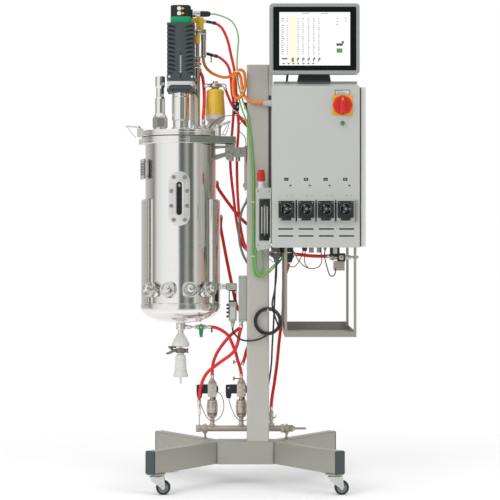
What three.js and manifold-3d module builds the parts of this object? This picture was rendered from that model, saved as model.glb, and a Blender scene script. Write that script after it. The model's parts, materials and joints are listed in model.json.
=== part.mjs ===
// A stand-mounted pilot bioreactor: a castor stand with a column, a jacketed steel vessel with its
// stirrer drive, a control cabinet with pumps and monitor, a condensate manifold and the hoses.
// Millimetres, +Z up, the front towards -Y. The origin is on the floor, under the middle of the stand.
import * as THREE from 'three';
import { mergeVertices } from 'three/addons/utils/BufferGeometryUtils.js';
import Module from 'manifold-3d';

const wasm = await Module();
wasm.setup();

// ---------------------------------------------------------------- driving dimensions

const GAP = 0.3; // clearance between pieces that meet
const SHELL_SIDES = 24; // facets round the vessel, its jacket and its lid
const RIGHT_ANGLE = Math.PI / 2;
const degrees = THREE.MathUtils.degToRad;

const STAND = {
  underside: 72, tubeHeight: 80, tubeWidth: 40, legAngle: degrees(51.5), legLength: 362, capThickness: 5.4,
  beamLength: 206, beamDepth: 90, casterX: 306, casterY: 263,
};
STAND.top = STAND.underside + STAND.tubeHeight;
const CASTER = { wheelRadius: 25, wheelWidth: 20, trail: 25, crownRadius: 22, crownBottom: 57, crownTop: 63.7 };
const COLUMN = { size: 80, wall: 3, top: 1500, centreX: 45 };
COLUMN.left = COLUMN.centreX - COLUMN.size / 2;
COLUMN.right = COLUMN.centreX + COLUMN.size / 2;

const VESSEL = {
  axisX: -233, shellRadius: 127, wall: 4, dishTop: 650, dishDepth: 60, outletRadius: 12,
  flangeRadius: 141, flangeBottom: 1216.5, flangeTop: 1240.6,
};
const JACKET = { radius: 140, wall: 3, dishTop: 628, dishDepth: 54, top: 1020, ledge: 650, edge: degrees(56) };
const LID = { radius: 141, bottom: 1243.4, top: 1264 };
const SIGHT = { width: 70, height: 187, centreZ: 1019, slotWidth: 17.5, slotHeight: 115, frontY: -149 };
const PORT = { tilt: degrees(20), startRadius: 138.3, startZ: 694 };
const DRIVE = { bodySize: 99, finTop: 1650, finBottom: 1442, flangeBottom: 1402 };

const CABINET = { left: 92, right: 394, front: -250, back: 200, bottom: 847, top: 1403, roof: 1424 };
const PUMP = { pitch: 67.6, firstX: 141.4, centreZ: 973.7, headWidth: 53, headHeight: 67, recessRadius: 20 };
const MONITOR = { width: 312, height: 244, depth: 45, centreX: 239.7, centreZ: 1568.7, front: -225 };
const SHELF = { left: 136, right: 384, front: -229, back: 215, bottom: 538, lip: 18, post: 9 };
const MANIFOLD = { y: 66.6, z: 187.2, radius: 9.8, left: -180, right: 190 };

// ---------------------------------------------------------------- finishes

const FINISH = {
  brushedSteel: { color: 0xb4b2a8, roughness: 0.45, metalness: 0.9 },
  polishedSteel: { color: 0xd0d0cc, roughness: 0.18, metalness: 1 },
  paintedGrey: { color: 0xbfc1bd, roughness: 0.55, metalness: 0.1 },
  blackMetal: { color: 0x2e3436, roughness: 0.5, metalness: 0.3 },
  blackPlastic: { color: 0x202324, roughness: 0.55, metalness: 0 },
  greyPlastic: { color: 0x9ba19f, roughness: 0.5, metalness: 0 },
  whitePlastic: { color: 0xe6e6e2, roughness: 0.4, metalness: 0 },
  redPlastic: { color: 0xd8201c, roughness: 0.35, metalness: 0 },
  yellowPlastic: { color: 0xf0b81e, roughness: 0.4, metalness: 0 },
  amberPlastic: { color: 0xe0a81a, roughness: 0.25, metalness: 0 },
  greenPlastic: { color: 0x0f9a6c, roughness: 0.45, metalness: 0 },
  zinc: { color: 0xc9cdc8, roughness: 0.35, metalness: 0.9 },
  tyre: { color: 0x2c2c2b, roughness: 0.7, metalness: 0 },
  glass: { color: 0x20282a, roughness: 0.05, metalness: 0, transparent: true, opacity: 0.5 },
  seal: { color: 0x3a3b3b, roughness: 0.8, metalness: 0 },
  redHose: { color: 0xc81d20, roughness: 0.4, metalness: 0 },
  orangeCable: { color: 0xef7a1c, roughness: 0.45, metalness: 0 },
  greenCable: { color: 0x6fb456, roughness: 0.45, metalness: 0 },
  blackCable: { color: 0x2b2f30, roughness: 0.5, metalness: 0 },
};

// ---------------------------------------------------------------- solids and placing

// The closed, merged, outward-facing form that a boolean needs.
function solid(geometry) {
  const bare = geometry.clone();
  bare.deleteAttribute('normal');
  bare.deleteAttribute('uv');
  const merged = mergeVertices(bare, 1e-4);
  const corner = merged.attributes.position;
  const triangles = [];
  let volume = 0;
  for (let i = 0; i < merged.index.count; i += 3) {
    const [a, b, c] = [0, 1, 2].map((step) => merged.index.getX(i + step));
    if (a === b || b === c || c === a) continue;
    triangles.push(a, b, c);
    const [p, q, r] = [a, b, c].map((id) => new THREE.Vector3().fromBufferAttribute(corner, id));
    volume += p.dot(q.cross(r));
  }
  if (volume < 0) triangles.reverse();
  return new wasm.Manifold(new wasm.Mesh({
    numProp: 3,
    vertProperties: Float32Array.from(corner.array),
    triVerts: Uint32Array.from(triangles),
  }));
}

function toGeometry(manifold) {
  const mesh = manifold.getMesh();
  const geometry = new THREE.BufferGeometry();
  geometry.setAttribute('position', new THREE.BufferAttribute(Float32Array.from(mesh.vertProperties), 3));
  geometry.setIndex(new THREE.BufferAttribute(Uint32Array.from(mesh.triVerts), 1));
  geometry.computeVertexNormals();
  return geometry;
}

// The same body with its faces turned outwards, whichever way its profile was drawn.
const facingOut = (geometry) => toGeometry(solid(geometry));

const fuse = (...pieces) => toGeometry(pieces.map(solid).reduce((sum, next) => sum.add(next)));

const carve = (body, ...tools) => toGeometry(tools.map(solid).reduce((rest, tool) => rest.subtract(tool), solid(body)));

// A box between limits on each axis.
function block(x0, x1, y0, y1, z0, z1) {
  return new THREE.BoxGeometry(x1 - x0, y1 - y0, z1 - z0).translate((x0 + x1) / 2, (y0 + y1) / 2, (z0 + z1) / 2);
}

// A rectangle with rounded corners, centred on the origin.
function roundedRectangle(width, height, radius) {
  const [w, h] = [width / 2 - radius, height / 2 - radius];
  const shape = new THREE.Shape();
  shape.absarc(w, h, radius, 0, RIGHT_ANGLE);
  shape.absarc(-w, h, radius, RIGHT_ANGLE, Math.PI);
  shape.absarc(-w, -h, radius, Math.PI, 3 * RIGHT_ANGLE);
  shape.absarc(w, -h, radius, 3 * RIGHT_ANGLE, 2 * Math.PI);
  return shape;
}

const polygon = (corners) => new THREE.Shape(corners.map(([x, y]) => new THREE.Vector2(x, y)));

// A flat outline given thickness along +Z.
function slab(shape, depth, curveSegments = 2) {
  return new THREE.ExtrudeGeometry(shape, { depth, bevelEnabled: false, curveSegments });
}

// The same outline standing upright, facing the front: its thickness runs from front to back.
const uprightSlab = (shape, depth, curveSegments) => slab(shape, depth, curveSegments).rotateX(RIGHT_ANGLE)
  .translate(0, depth, 0);

// A profile of [radius, height] points turned about Z. It starts and ends on the axis, or closes.
function turned(profile, segments = 16) {
  const points = profile.map(([r, z]) => new THREE.Vector2(r, z));
  return new THREE.LatheGeometry(points, segments).rotateX(RIGHT_ANGLE);
}

// A hollow profile: the points are joined back to the first one.
const turnedRing = (profile, segments) => turned([...profile, profile[0]], segments);

function rod(radius, z0, z1, segments = 10) {
  return new THREE.CylinderGeometry(radius, radius, z1 - z0, segments).rotateX(RIGHT_ANGLE)
    .translate(0, 0, (z0 + z1) / 2);
}

// A rod between two points, for wires and stays.
function strut(from, to, radius, segments = 8) {
  const [a, b] = [new THREE.Vector3(...from), new THREE.Vector3(...to)];
  const turn = new THREE.Quaternion().setFromUnitVectors(new THREE.Vector3(0, 0, 1), b.clone().sub(a).normalize());
  return rod(radius, 0, a.distanceTo(b), segments).applyQuaternion(turn).translate(a.x, a.y, a.z);
}

// Points of an elliptical dish from the axis out to its rim.
function dish(radius, rimZ, depth, startRadius, steps = 4) {
  const start = Math.acos(startRadius / radius);
  return Array.from({ length: steps + 1 }, (_, i) => {
    const angle = start * (1 - i / steps);
    return [radius * Math.cos(angle), rimZ - depth * Math.sin(angle)];
  });
}

const machine = new THREE.Group();

function group(parent, x = 0, y = 0, z = 0) {
  const child = new THREE.Group();
  child.position.set(x, y, z);
  parent.add(child);
  return child;
}

function add(parent, name, geometry, finish) {
  const mesh = new THREE.Mesh(geometry, new THREE.MeshStandardMaterial(finish));
  mesh.name = name;
  parent.add(mesh);
  return mesh;
}

// A group at a joint's axis, which the moving pieces hang from.
function pivot(parent, name, x = 0, y = 0, z = 0) {
  const child = group(parent, x, y, z);
  child.name = name;
  return child;
}

// ---------------------------------------------------------------- stand

const CORNERS = [['front_left', -1, -1], ['front_right', 1, -1], ['rear_left', -1, 1], ['rear_right', 1, 1]];

// Turns a piece that points to the front so that it points along a leg.
const alongLeg = (geometry, sideX, sideY) => geometry.rotateZ(
  Math.atan2(sideX * Math.cos(STAND.legAngle), -sideY * Math.sin(STAND.legAngle)));

function leg(sideX, sideY) {
  const middle = STAND.underside + STAND.tubeHeight / 2;
  const rootX = sideX * (STAND.beamLength / 2 - 6);
  const tube = slab(roundedRectangle(STAND.tubeWidth, STAND.tubeHeight, 5), STAND.legLength, 1);
  const cap = slab(roundedRectangle(STAND.tubeWidth - 1.2, STAND.tubeHeight - 1.2, 4), STAND.capThickness + 10, 1)
    .translate(0, 0, STAND.legLength - 10);
  return [tube, cap].map((piece) => alongLeg(piece.rotateX(RIGHT_ANGLE), sideX, sideY).translate(rootX, 0, middle));
}

// The plate, bearing cup and headed kingpin that carry a castor.
function casterMount(sideX, sideY) {
  const plate = alongLeg(slab(roundedRectangle(50, 50, 6), 4.6, 1), sideX, sideY).translate(0, 0, STAND.underside - 4);
  const kingpin = turned([[0, 53], [8, 53], [8, 56.6], [5, 56.6], [5, 64], [19, 64], [20, 69], [0, 69]], 8);
  return fuse(plate, kingpin).translate(sideX * STAND.casterX, sideY * STAND.casterY, 0);
}

function baseFrame() {
  const beam = slab(roundedRectangle(STAND.beamLength, STAND.beamDepth, 8), STAND.tubeHeight)
    .translate(0, 0, STAND.underside);
  return fuse(beam, ...CORNERS.flatMap(([, x, y]) => [...leg(x, y), casterMount(x, y)]));
}

function casterFork() {
  const { wheelRadius, wheelWidth, trail, crownRadius, crownBottom, crownTop } = CASTER;
  const cheek = new THREE.Shape();
  cheek.moveTo(-16, crownTop);
  cheek.lineTo(-16, 49);
  cheek.lineTo(trail - 8, wheelRadius);
  cheek.absarc(trail, wheelRadius, 8, Math.PI, 2 * Math.PI);
  cheek.lineTo(trail + 3, crownTop);
  const inner = wheelWidth / 2 + 2;
  const cheeks = [inner, -inner - 2.5].map((y) => uprightSlab(cheek, 2.5, 1).translate(0, y, 0));
  const crown = turnedRing([[5.6, crownBottom], [crownRadius, crownBottom], [crownRadius, crownTop],
    [5.6, crownTop]], 8);
  const axle = rod(4, -inner - 5, inner + 5, 6).rotateX(RIGHT_ANGLE).translate(trail, 0, wheelRadius);
  return fuse(crown, ...cheeks, axle);
}

// The tread has flat facets, and it stands on one of them.
function casterWheel() {
  const [r, w] = [CASTER.wheelRadius / Math.cos(Math.PI / 12), CASTER.wheelWidth / 2];
  const half = [[4.6, w - 2], [18, w - 2], [r - 5, w], [r, w - 2.5]];
  const profile = [...half, ...half.map(([radius, y]) => [radius, -y]).reverse()];
  return facingOut(turnedRing(profile, 12)).rotateZ(Math.PI / 12).rotateX(RIGHT_ANGLE);
}

// A square tube, welded shut at the top, with the cabinet's rail, the junction box and a cable hook.
function column() {
  const { size, wall, top, left, right, centreX } = COLUMN;
  const tube = carve(
    slab(roundedRectangle(size, size, 6), top - STAND.top - GAP).translate(centreX, 0, STAND.top + GAP),
    slab(roundedRectangle(size - 2 * wall, size - 2 * wall, 4), top - STAND.top - wall, 1).translate(centreX, 0, STAND.top - 5),
  );
  const rail = block(right - 1, CABINET.left + 6 - GAP, -38, 38, 880, top);
  const junctionBox = slab(roundedRectangle(29, 62, 3), 162, 1).translate(left - 13.5, 0, 582);
  const boxPorts = [-20, 0, 20].map((y) => rod(7, 572, 584, 6).translate(left - 20, y, 0));
  const hook = strut([80, -38, 617], [80, -70, 617], 3, 6);
  const hookTip = strut([80, -68, 617], [80, -70, 628], 3, 6);
  return fuse(tube, rail, junctionBox, ...boxPorts, hook, hookTip);
}

// The welded arm that carries the vessel by its flange lug.
function vesselArm() {
  const { left } = COLUMN;
  const backPlate = block(left - 9, left - GAP, -36, 36, 1053, 1210);
  const beam = block(-73, left - 8, -25, 25, 1173, 1206);
  const pad = block(-72, -36, -22, 22, 1205, VESSEL.flangeBottom - GAP);
  const brace = uprightSlab(polygon([[-72, 1174], [-72, 1188], [-105.5, 1180], [-105.5, 1162]]), 24).translate(0, -12, 0);
  const post = uprightSlab(polygon([[-73, 1205], [-72, 1212], [-105.5, 1212], [-105.5, 1202]]), 24).translate(0, -12, 0);
  const eye = rod(12, -30, 30, 12).rotateX(RIGHT_ANGLE).translate(-58, 0, 1172);
  const bolts = [-48, -24].map((x) => rod(5, -30, 30, 6).rotateX(RIGHT_ANGLE).translate(x, 0, 1190));
  const hosePorts = [-50, -27].map((x) => rod(7.5, 1158, 1176, 8).translate(x, 12, 0));
  return fuse(backPlate, beam, pad, brace, post, eye, ...bolts, ...hosePorts);
}

function buildStand() {
  const stand = group(machine);
  add(stand, 'base_frame', baseFrame(), FINISH.brushedSteel);
  for (const [corner, sideX, sideY] of CORNERS) {
    const swivel = pivot(stand, `caster_swivel_${corner}`, sideX * STAND.casterX, sideY * STAND.casterY);
    add(swivel, `caster_fork_${corner}`, casterFork(), FINISH.zinc);
    const axle = pivot(swivel, `caster_axle_${corner}`, CASTER.trail, 0, CASTER.wheelRadius);
    add(axle, `caster_wheel_${corner}`, casterWheel(), FINISH.tyre);
  }
  add(stand, 'column', column(), FINISH.brushedSteel);
  add(stand, 'vessel_arm', vesselArm(), FINISH.brushedSteel);
}

// ---------------------------------------------------------------- vessel

// Turns a piece built along +Z so that it points out of the vessel and a little upwards.
function outward(geometry, azimuth, tilt, radius, z) {
  return geometry.rotateX(RIGHT_ANGLE - tilt).translate(0, -radius, z).rotateZ(azimuth);
}

const PORT_AZIMUTHS = [-45, -15, 15, 45].map(degrees);

// A plugged side port: the socket through the jacket, its union nut and the domed plug.
const sidePort = () => turned([[0, -16], [16, -16], [16, 6], [22.5, 8], [22.5, 22], [14, 22], [14, 35],
  [11, 38], [0, 38]], 8);

// The probe port on the right, with the hexagon that the transmitter screws on.
const probePort = () => fuse(rod(9, -16, 10, 8), rod(13, 6, 16, 6), rod(5, 12, 27, 6));

const PROBE = { azimuth: degrees(90), radius: 136, z: 706 };

// The dished shell with its neck flange, arm lug, sight opening, ports and hose nozzles.
function vesselShell() {
  const { shellRadius: r, wall, dishTop, dishDepth, outletRadius, flangeRadius, flangeBottom, flangeTop } = VESSEL;
  const outer = [[outletRadius, 573.7], ...dish(r, dishTop, dishDepth, outletRadius), [r, flangeBottom],
    [flangeRadius, flangeBottom], [flangeRadius, flangeTop]];
  const inner = dish(r - wall, dishTop, dishDepth - wall, outletRadius - 3).reverse();
  const shell = turnedRing([...outer, [r - wall, flangeTop], ...inner, [outletRadius - 3, 573.7]], SHELL_SIDES);
  const lug = slab(roundedRectangle(86, 52, 12), flangeTop - flangeBottom).translate(156, 0, flangeBottom);
  const opened = carve(fuse(shell, carve(lug, rod(r, flangeBottom - 5, flangeTop + 5, SHELL_SIDES))),
    uprightSlab(roundedRectangle(SIGHT.slotWidth, SIGHT.slotHeight, SIGHT.slotWidth / 2 - 0.01), 40)
      .translate(0, -145, SIGHT.centreZ));
  const ports = PORT_AZIMUTHS.map((azimuth) => outward(sidePort(), azimuth, PORT.tilt, PORT.startRadius, PORT.startZ));
  const probe = outward(probePort(), PROBE.azimuth, 0, PROBE.radius, PROBE.z);
  const nozzles = [[degrees(128), 1086], [degrees(142), 1060]]
    .map(([azimuth, z]) => outward(turned([[0, -8], [8, -8], [8, 6], [11, 6], [11, 14], [6, 14], [6, 22], [0, 22]], 8),
      azimuth, 0, r + 2, z));
  const plateStuds = [1100, 1153].map((z) => outward(rod(3, -4, 10, 6), degrees(-74), 0, r + 2, z));
  const plate = outward(slab(roundedRectangle(80, 73, 3), 1.6).translate(0, 0, 9), degrees(-74), 0, r + 2, 1126.5);
  const keepers = Object.values(LATCHES).map((side) => block(flangeRadius - 6, 150, -9, 9, flangeBottom, 1236)
    .rotateZ(side));
  return fuse(opened, ...ports, probe, ...nozzles, ...plateStuds, plate, ...keepers);
}

// The heating jacket: a thin dished shell round the sides and the back of the lower vessel. It leaves the front
// of the shell bare above a ledge, and closes against the shell along both upright edges.
function jacket() {
  const { radius: r, wall, dishTop, dishDepth, top } = JACKET;
  const throat = VESSEL.outletRadius + GAP;
  const outer = [...dish(r, dishTop, dishDepth, throat + 8), [r, top - 6], [r - 5, top],
    [VESSEL.shellRadius + 2 * GAP, top]];
  const inner = [[VESSEL.shellRadius + 2 * GAP, top - wall], [r - wall, top - 8],
    ...dish(r - wall, dishTop, dishDepth - wall, throat + 8).reverse(), [throat, dishTop - dishDepth + 2],
    [throat, dishTop - dishDepth]];
  const shell = turnedRing([...outer, ...inner], SHELL_SIDES);
  const { ledge, edge } = JACKET;
  const lip = VESSEL.shellRadius + 2 * GAP;
  const [reachX, reachY] = [300 * Math.sin(edge), -300 * Math.cos(edge)];
  const bareFront = slab(polygon([[0, 0], [-reachX, reachY], [reachX, reachY]]), top).translate(0, 0, ledge);
  const shelfRing = turnedRing([[lip, ledge - wall], [r - 1.5, ledge - wall], [r - 1.5, ledge], [lip, ledge]], SHELL_SIDES);
  const edges = [[-edge, -wall, 0], [edge, 0, wall]].map(([azimuth, x0, x1]) => block(x0, x1, -(r - 1.5), -lip - 0.4,
    ledge - 1, top - 0.5).rotateZ(azimuth));
  const holes = PORT_AZIMUTHS.map((azimuth) => outward(rod(16 + GAP, -30, 30, 8), azimuth, PORT.tilt, PORT.startRadius,
    PORT.startZ));
  const probeHole = outward(rod(9 + GAP, -30, 8, 8), PROBE.azimuth, 0, PROBE.radius, PROBE.z);
  const nozzleProfile = [[0, -2], [9, -2], [9, 8], [12, 8], [12, 16], [6, 18], [6, 26], [0, 26]];
  const sideNozzles = [[degrees(126), 962], [degrees(150), 680]].map(([azimuth, z]) => outward(
    turned(nozzleProfile, 8), azimuth, 0, r, z));
  const lowerNozzle = turned([[0, 0], [10, 0], [10, 12], [7, 14], [7, 20], [0, 20]], 8).rotateX(Math.PI)
    .translate(70, -75, 603);
  const bands = [-112, 68].map((azimuth) => outward(slab(roundedRectangle(26, 22, 3), 6), degrees(azimuth), 0, r - 4, 637));
  const open = fuse(carve(shell, bareFront), shelfRing, ...edges);
  return fuse(carve(open, ...holes, probeHole), ...sideNozzles, lowerNozzle, ...bands);
}

// The upright outline of the sight glass frame, grown by a clearance.
const sightOutline = (clearance, depth) => {
  const [width, height] = [SIGHT.width + 2 * clearance, SIGHT.height + 2 * clearance];
  return uprightSlab(roundedRectangle(width, height, width / 2 - 0.01), depth, 4);
};

const PANE = { width: 24, height: 122, front: -145, back: -139 };

function sightFrame() {
  const window = roundedRectangle(SIGHT.slotWidth, SIGHT.slotHeight, SIGHT.slotWidth / 2 - 0.01);
  const pocket = roundedRectangle(PANE.width, PANE.height, PANE.width / 2 - 0.01);
  const frame = carve(sightOutline(0, 32).translate(0, SIGHT.frontY, 0),
    uprightSlab(window, 60, 2).translate(0, SIGHT.frontY - 10, 0),
    uprightSlab(pocket, 40, 2).translate(0, PANE.front, 0),
    rod(VESSEL.shellRadius + GAP, -SIGHT.height, SIGHT.height, SHELL_SIDES));
  const boltPlaces = [[18, 73], [25, 25], [25, -25], [18, -73]].flatMap(([x, z]) => [[x, z], [-x, z]]);
  const bolts = boltPlaces.map(([x, z]) => rod(5, -5, 1, 6).rotateX(RIGHT_ANGLE)
    .translate(x, SIGHT.frontY, z));
  return fuse(frame, ...bolts).translate(0, 0, SIGHT.centreZ);
}

const sightPane = () => uprightSlab(roundedRectangle(PANE.width - 2 * GAP, PANE.height - 2 * GAP,
  PANE.width / 2 - GAP - 0.01), PANE.back - PANE.front, 2).translate(0, PANE.front + GAP, SIGHT.centreZ);

// The clamp block for a draw latch, on the lid's rim.
function latchBlock(side) {
  return fuse(
    block(LID.radius - 6, 156, -9, 9, LID.bottom, 1276).rotateZ(side),
    rod(5, -9, 9, 8).rotateX(RIGHT_ANGLE).translate(150, 0, 1278).rotateZ(side),
  );
}

const LATCHES = { left: Math.PI, right: degrees(-24) };

function lid() {
  const { radius, bottom, top } = LID;
  const cover = turnedRing([[9, bottom], [radius, bottom], [radius, top - 1.5], [radius - 1.5, top], [34, top],
    [34, top + 5], [9, top + 5]], SHELL_SIDES);
  const plugs = [[84, -62, 11, 20], [104, -30, 9, 26], [52, -96, 12, 14], [-92, 74, 12, 20], [8, 104, 13, 24]]
    .map(([x, y, radius, height]) => turned([[0, top - 1], [radius + 3, top - 1], [radius + 3, top + 6], [radius, top + 6],
      [radius, top + height], [0, top + height]], 8).translate(x, y, 0));
  const post = rod(8.4, top - 1, DRIVE.flangeBottom - GAP, 12).translate(41, 40, 0);
  return fuse(cover, ...plugs, post, latchBlock(LATCHES.left), latchBlock(LATCHES.right));
}

const lidGasket = () => facingOut(turnedRing([[124, VESSEL.flangeTop + GAP], [138.5, VESSEL.flangeTop + GAP],
  [138.5, LID.bottom - GAP], [124, LID.bottom - GAP]], SHELL_SIDES));

// A draw latch: the over-centre lever with the wire bow that hooks under the flange.
function latchBail() {
  const lever = fuse(rod(6, -16, -9.4, 8), rod(6, 9.4, 16, 8)).rotateX(RIGHT_ANGLE);
  const arms = [-1, 1].map((side) => strut([0, side * 13.5, 0], [44, side * 6, 4], 2.2, 5));
  const grip = strut([44, -8, 4], [44, 8, 4], 3, 6);
  const bow = [-1, 1].map((side) => strut([43, side * 6, 4], [12, side * 13, -34], 1.6, 4));
  const hook = strut([12, -14, -34], [12, 14, -34], 1.6, 4);
  return fuse(lever, ...arms, grip, ...bow, hook);
}

// A shaft with two disc turbines, hung from the drive.
function stirrer() {
  const shaft = turned([[0, 640], [8, 642], [8, 1390], [0, 1390]], 8);
  const turbine = (z) => [rod(32, z - 1.5, z + 1.5, 12), rod(12, z - 9, z + 9, 6),
    ...Array.from({ length: 6 }, (_, i) => block(26, 42, -1.2, 1.2, z - 8, z + 8).rotateZ(i * Math.PI / 3))];
  return fuse(shaft, ...[715, 960].flatMap(turbine));
}

const bearingHousing = () => facingOut(turnedRing([[8.6, LID.top + 5.3], [33, LID.top + 5.3], [33, LID.top + 12], [28, LID.top + 12],
  [28, 1305], [32, 1309], [32, 1394], [30, DRIVE.flangeBottom - GAP], [0, DRIVE.flangeBottom - GAP], [0, 1392],
  [8.6, 1392]], 14));

const DRIVE_RINGS = { flangeTop: 1427, clampTop: 1442 };

// The servomotor: adapter flange, clamp ring and a square body with cooling fins and four spines.
function driveMotor() {
  const { bodySize: size, finTop, finBottom, flangeBottom } = DRIVE;
  const { flangeTop, clampTop } = DRIVE_RINGS;
  const adapter = slab(roundedRectangle(size - 6, size - 6, 10), flangeTop - flangeBottom, 1).translate(0, 0, flangeBottom);
  const skirt = slab(roundedRectangle(size, size, 12), 11, 1).translate(0, 0, flangeBottom);
  const clamp = slab(roundedRectangle(size - 2, size - 2, 8), clampTop - flangeTop + 1, 1).translate(0, 0, flangeTop - 0.5);
  const bolts = [[1, 1], [1, -1], [-1, 1], [-1, -1]].map(([x, y]) => rod(5, flangeTop - 14, clampTop, 6)
    .translate(x * 42, y * 42, 0));
  const core = block(-size / 2 + 7, size / 2 - 7, -size / 2 + 7, size / 2 - 7, finBottom, finTop - 1);
  const pitch = (finTop - finBottom - 9) / 13;
  const fins = Array.from({ length: 12 }, (_, i) => block(-size / 2, size / 2, -size / 2, size / 2, 0, 7)
    .translate(0, 0, finBottom + (i + 1) * pitch));
  const ends = [finBottom, finTop - 9].map((z) => block(-size / 2, size / 2, -size / 2, size / 2, z, z + 9));
  const spines = [0, 1, 2, 3].map((turn) => block(-12, 12, -size / 2 + 0.6, -30, finBottom, finTop - 1)
    .rotateZ(turn * RIGHT_ANGLE));
  return fuse(adapter, skirt, clamp, ...bolts, core, ...fins, ...ends, ...spines);
}

// The encoder on top of the motor: the coloured ring, the cap and the angled plug with its boot.
function motorEncoder() {
  const bottom = DRIVE.finTop + GAP;
  const ring = slab(roundedRectangle(73.5, 73.5, 14), 22.5, 2).translate(0, 0, bottom);
  const cap = slab(roundedRectangle(72, 72, 13), 43, 2).translate(0, 0, bottom + 22);
  const crown = slab(roundedRectangle(68, 68, 11), 3, 2).translate(0, 0, bottom + 64.7);
  const plug = turned([[0, 30], [12.5, 30], [12.5, 71], [9.5, 72], [9.5, 104], [6, 107], [0, 107]], 12)
    .rotateY(RIGHT_ANGLE).translate(0, 0, 1687);
  return fuse(ring, cap, crown, plug);
}

// The exhaust condenser: a hexagon union, the cooled tube and its capped outlet.
const condenser = () => fuse(
  turned([[0, LID.top + GAP], [27, LID.top + GAP], [27, LID.top + 6], [23.5, LID.top + 8], [23.5, 1318], [17.5, 1324],
    [17.5, 1384], [14.5, 1390], [14.5, 1420], [18, 1425], [18, 1462], [0, 1462]], 12),
  rod(26, 1286, 1306, 6),
);

// The pressure line: a standpipe with its valve stem, clamp block and sensor tube.
function inletPipe() {
  const pipe = turned([[0, LID.top + GAP], [16, LID.top + GAP], [16, 1276], [10, 1280], [10, 1505], [12, 1508], [12, 1541],
    [7, 1545], [7, 1625], [0, 1625]], 10);
  const clampBlock = block(-8, 34, -10, 10, 1621, 1640);
  const sensor = rod(10, 1536, 1639, 10).translate(22, 0, 0);
  const sideTube = strut([26, 0, 1552], [60, 0, 1545], 4.5, 8);
  const knob = strut([50, 0, 1546], [50, -4, 1522], 1.8, 6);
  return fuse(pipe, clampBlock, sensor, sideTube, knob);
}

// The valve's actuator head with its handwheel wing and hose elbow.
function valveHead() {
  const head = turned([[0, 1640.3], [13.5, 1640.3], [13.5, 1662], [14.5, 1664], [14.5, 1682], [12, 1684], [0, 1684]], 12);
  const wing = block(-34, 0, -9, 9, 1664, 1682);
  const elbow = strut([12, 0, 1671], [45, 0, 1665.6], 5, 8);
  return fuse(head, wing, elbow).translate(9, 0, 0);
}

// The sterile air filter: stem, grey collar, clear amber housing, shoulder and top clamp.
const airFilter = () => turned([[0, LID.top + GAP], [11, LID.top + GAP], [11, 1284], [18, 1296], [34, 1306],
  [34, 1326], [33, 1328], [33, 1412], [28, 1422], [18, 1424], [18, 1430], [24, 1431], [24, 1437], [8, 1439], [7, 1447],
  [0, 1447]], 14);

// The bottom outlet: valve body, side branch with ball valve, stem and harvest clamp.
function drainValve() {
  const body = turned([[0, 460.6], [12, 460.6], [12, 466], [17, 466], [17, 484], [5.5, 486], [5.5, 540.4],
    [10, 541], [10, 547], [17, 549], [17, 573.2], [0, 573.2]], 12);
  const branch = turned([[0, 10], [7, 10], [7, 35], [3, 37], [3, 45], [6.5, 47], [6.5, 58], [9, 60], [9, 88], [5, 90],
    [5, 98], [0, 98]], 8).rotateY(RIGHT_ANGLE).translate(0, 0, 560);
  const stem = rod(4, 4, 9.2, 8).rotateX(RIGHT_ANGLE).translate(74, 0, 560);
  const lever = block(88, 91, -3, 3, 536, 554);
  const wings = [strut([-14, 0, 476], [-36, 0, 462], 3.5, 6), strut([-14, 0, 477], [-30, 0, 487], 3.5, 6),
    block(14, 28, -5, 5, 468, 483)];
  return fuse(body, branch, stem, lever, ...wings);
}

// The ball valve's lever, long end down, with the boss that grips the stem.
function drainHandle() {
  const arm = new THREE.Shape();
  arm.moveTo(-5.5, -35);
  arm.lineTo(5.5, -35);
  arm.lineTo(8.5, -2);
  arm.quadraticCurveTo(8, 5, 0, 9);
  arm.quadraticCurveTo(-8, 5, -8.5, -2);
  return fuse(uprightSlab(arm, 4, 3).translate(0, -4, 0), rod(6.5, 1, 6, 8).rotateX(RIGHT_ANGLE));
}

const drainCone = () => facingOut(turnedRing([[5.9, 540], [10, 539], [13, 534], [31, 500], [31.5, 491], [29, 491], [28, 499],
  [9, 534], [5.9, 535]], 16));

const drainCup = () => turned([[0, 355], [3, 356], [3, 380], [27, 380], [27, 388], [22.5, 398], [19.2, 455], [17, 460.2],
  [0, 460.2]], 14);

// The probe transmitter: head block, open yoke and the electronics block with its gland.
function transmitter() {
  const head = block(-70, -31, -19, 19, 693, 718);
  const yoke = carve(block(-60, -32, -19, 19, 651, 694), block(-56, -36, -25, 25, 656, 690));
  const body = slab(roundedRectangle(29, 40, 5), 69, 1).translate(-46, 0, 583);
  const knobs = [598, 613, 627].map((z) => rod(4, 0, 8, 6).rotateY(-RIGHT_ANGLE).translate(-59, 0, z));
  const gland = turned([[0, 560], [4.5, 560], [6, 566], [6, 574], [9, 575], [9, 584], [0, 584]], 8).translate(-46, 0, 0);
  return fuse(head, yoke, body, ...knobs, gland);
}

const PIPE = { x: 58, y: 68 };
const FILTER = { x: 124, y: 22 };
const CONDENSER_X = -74;

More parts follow.
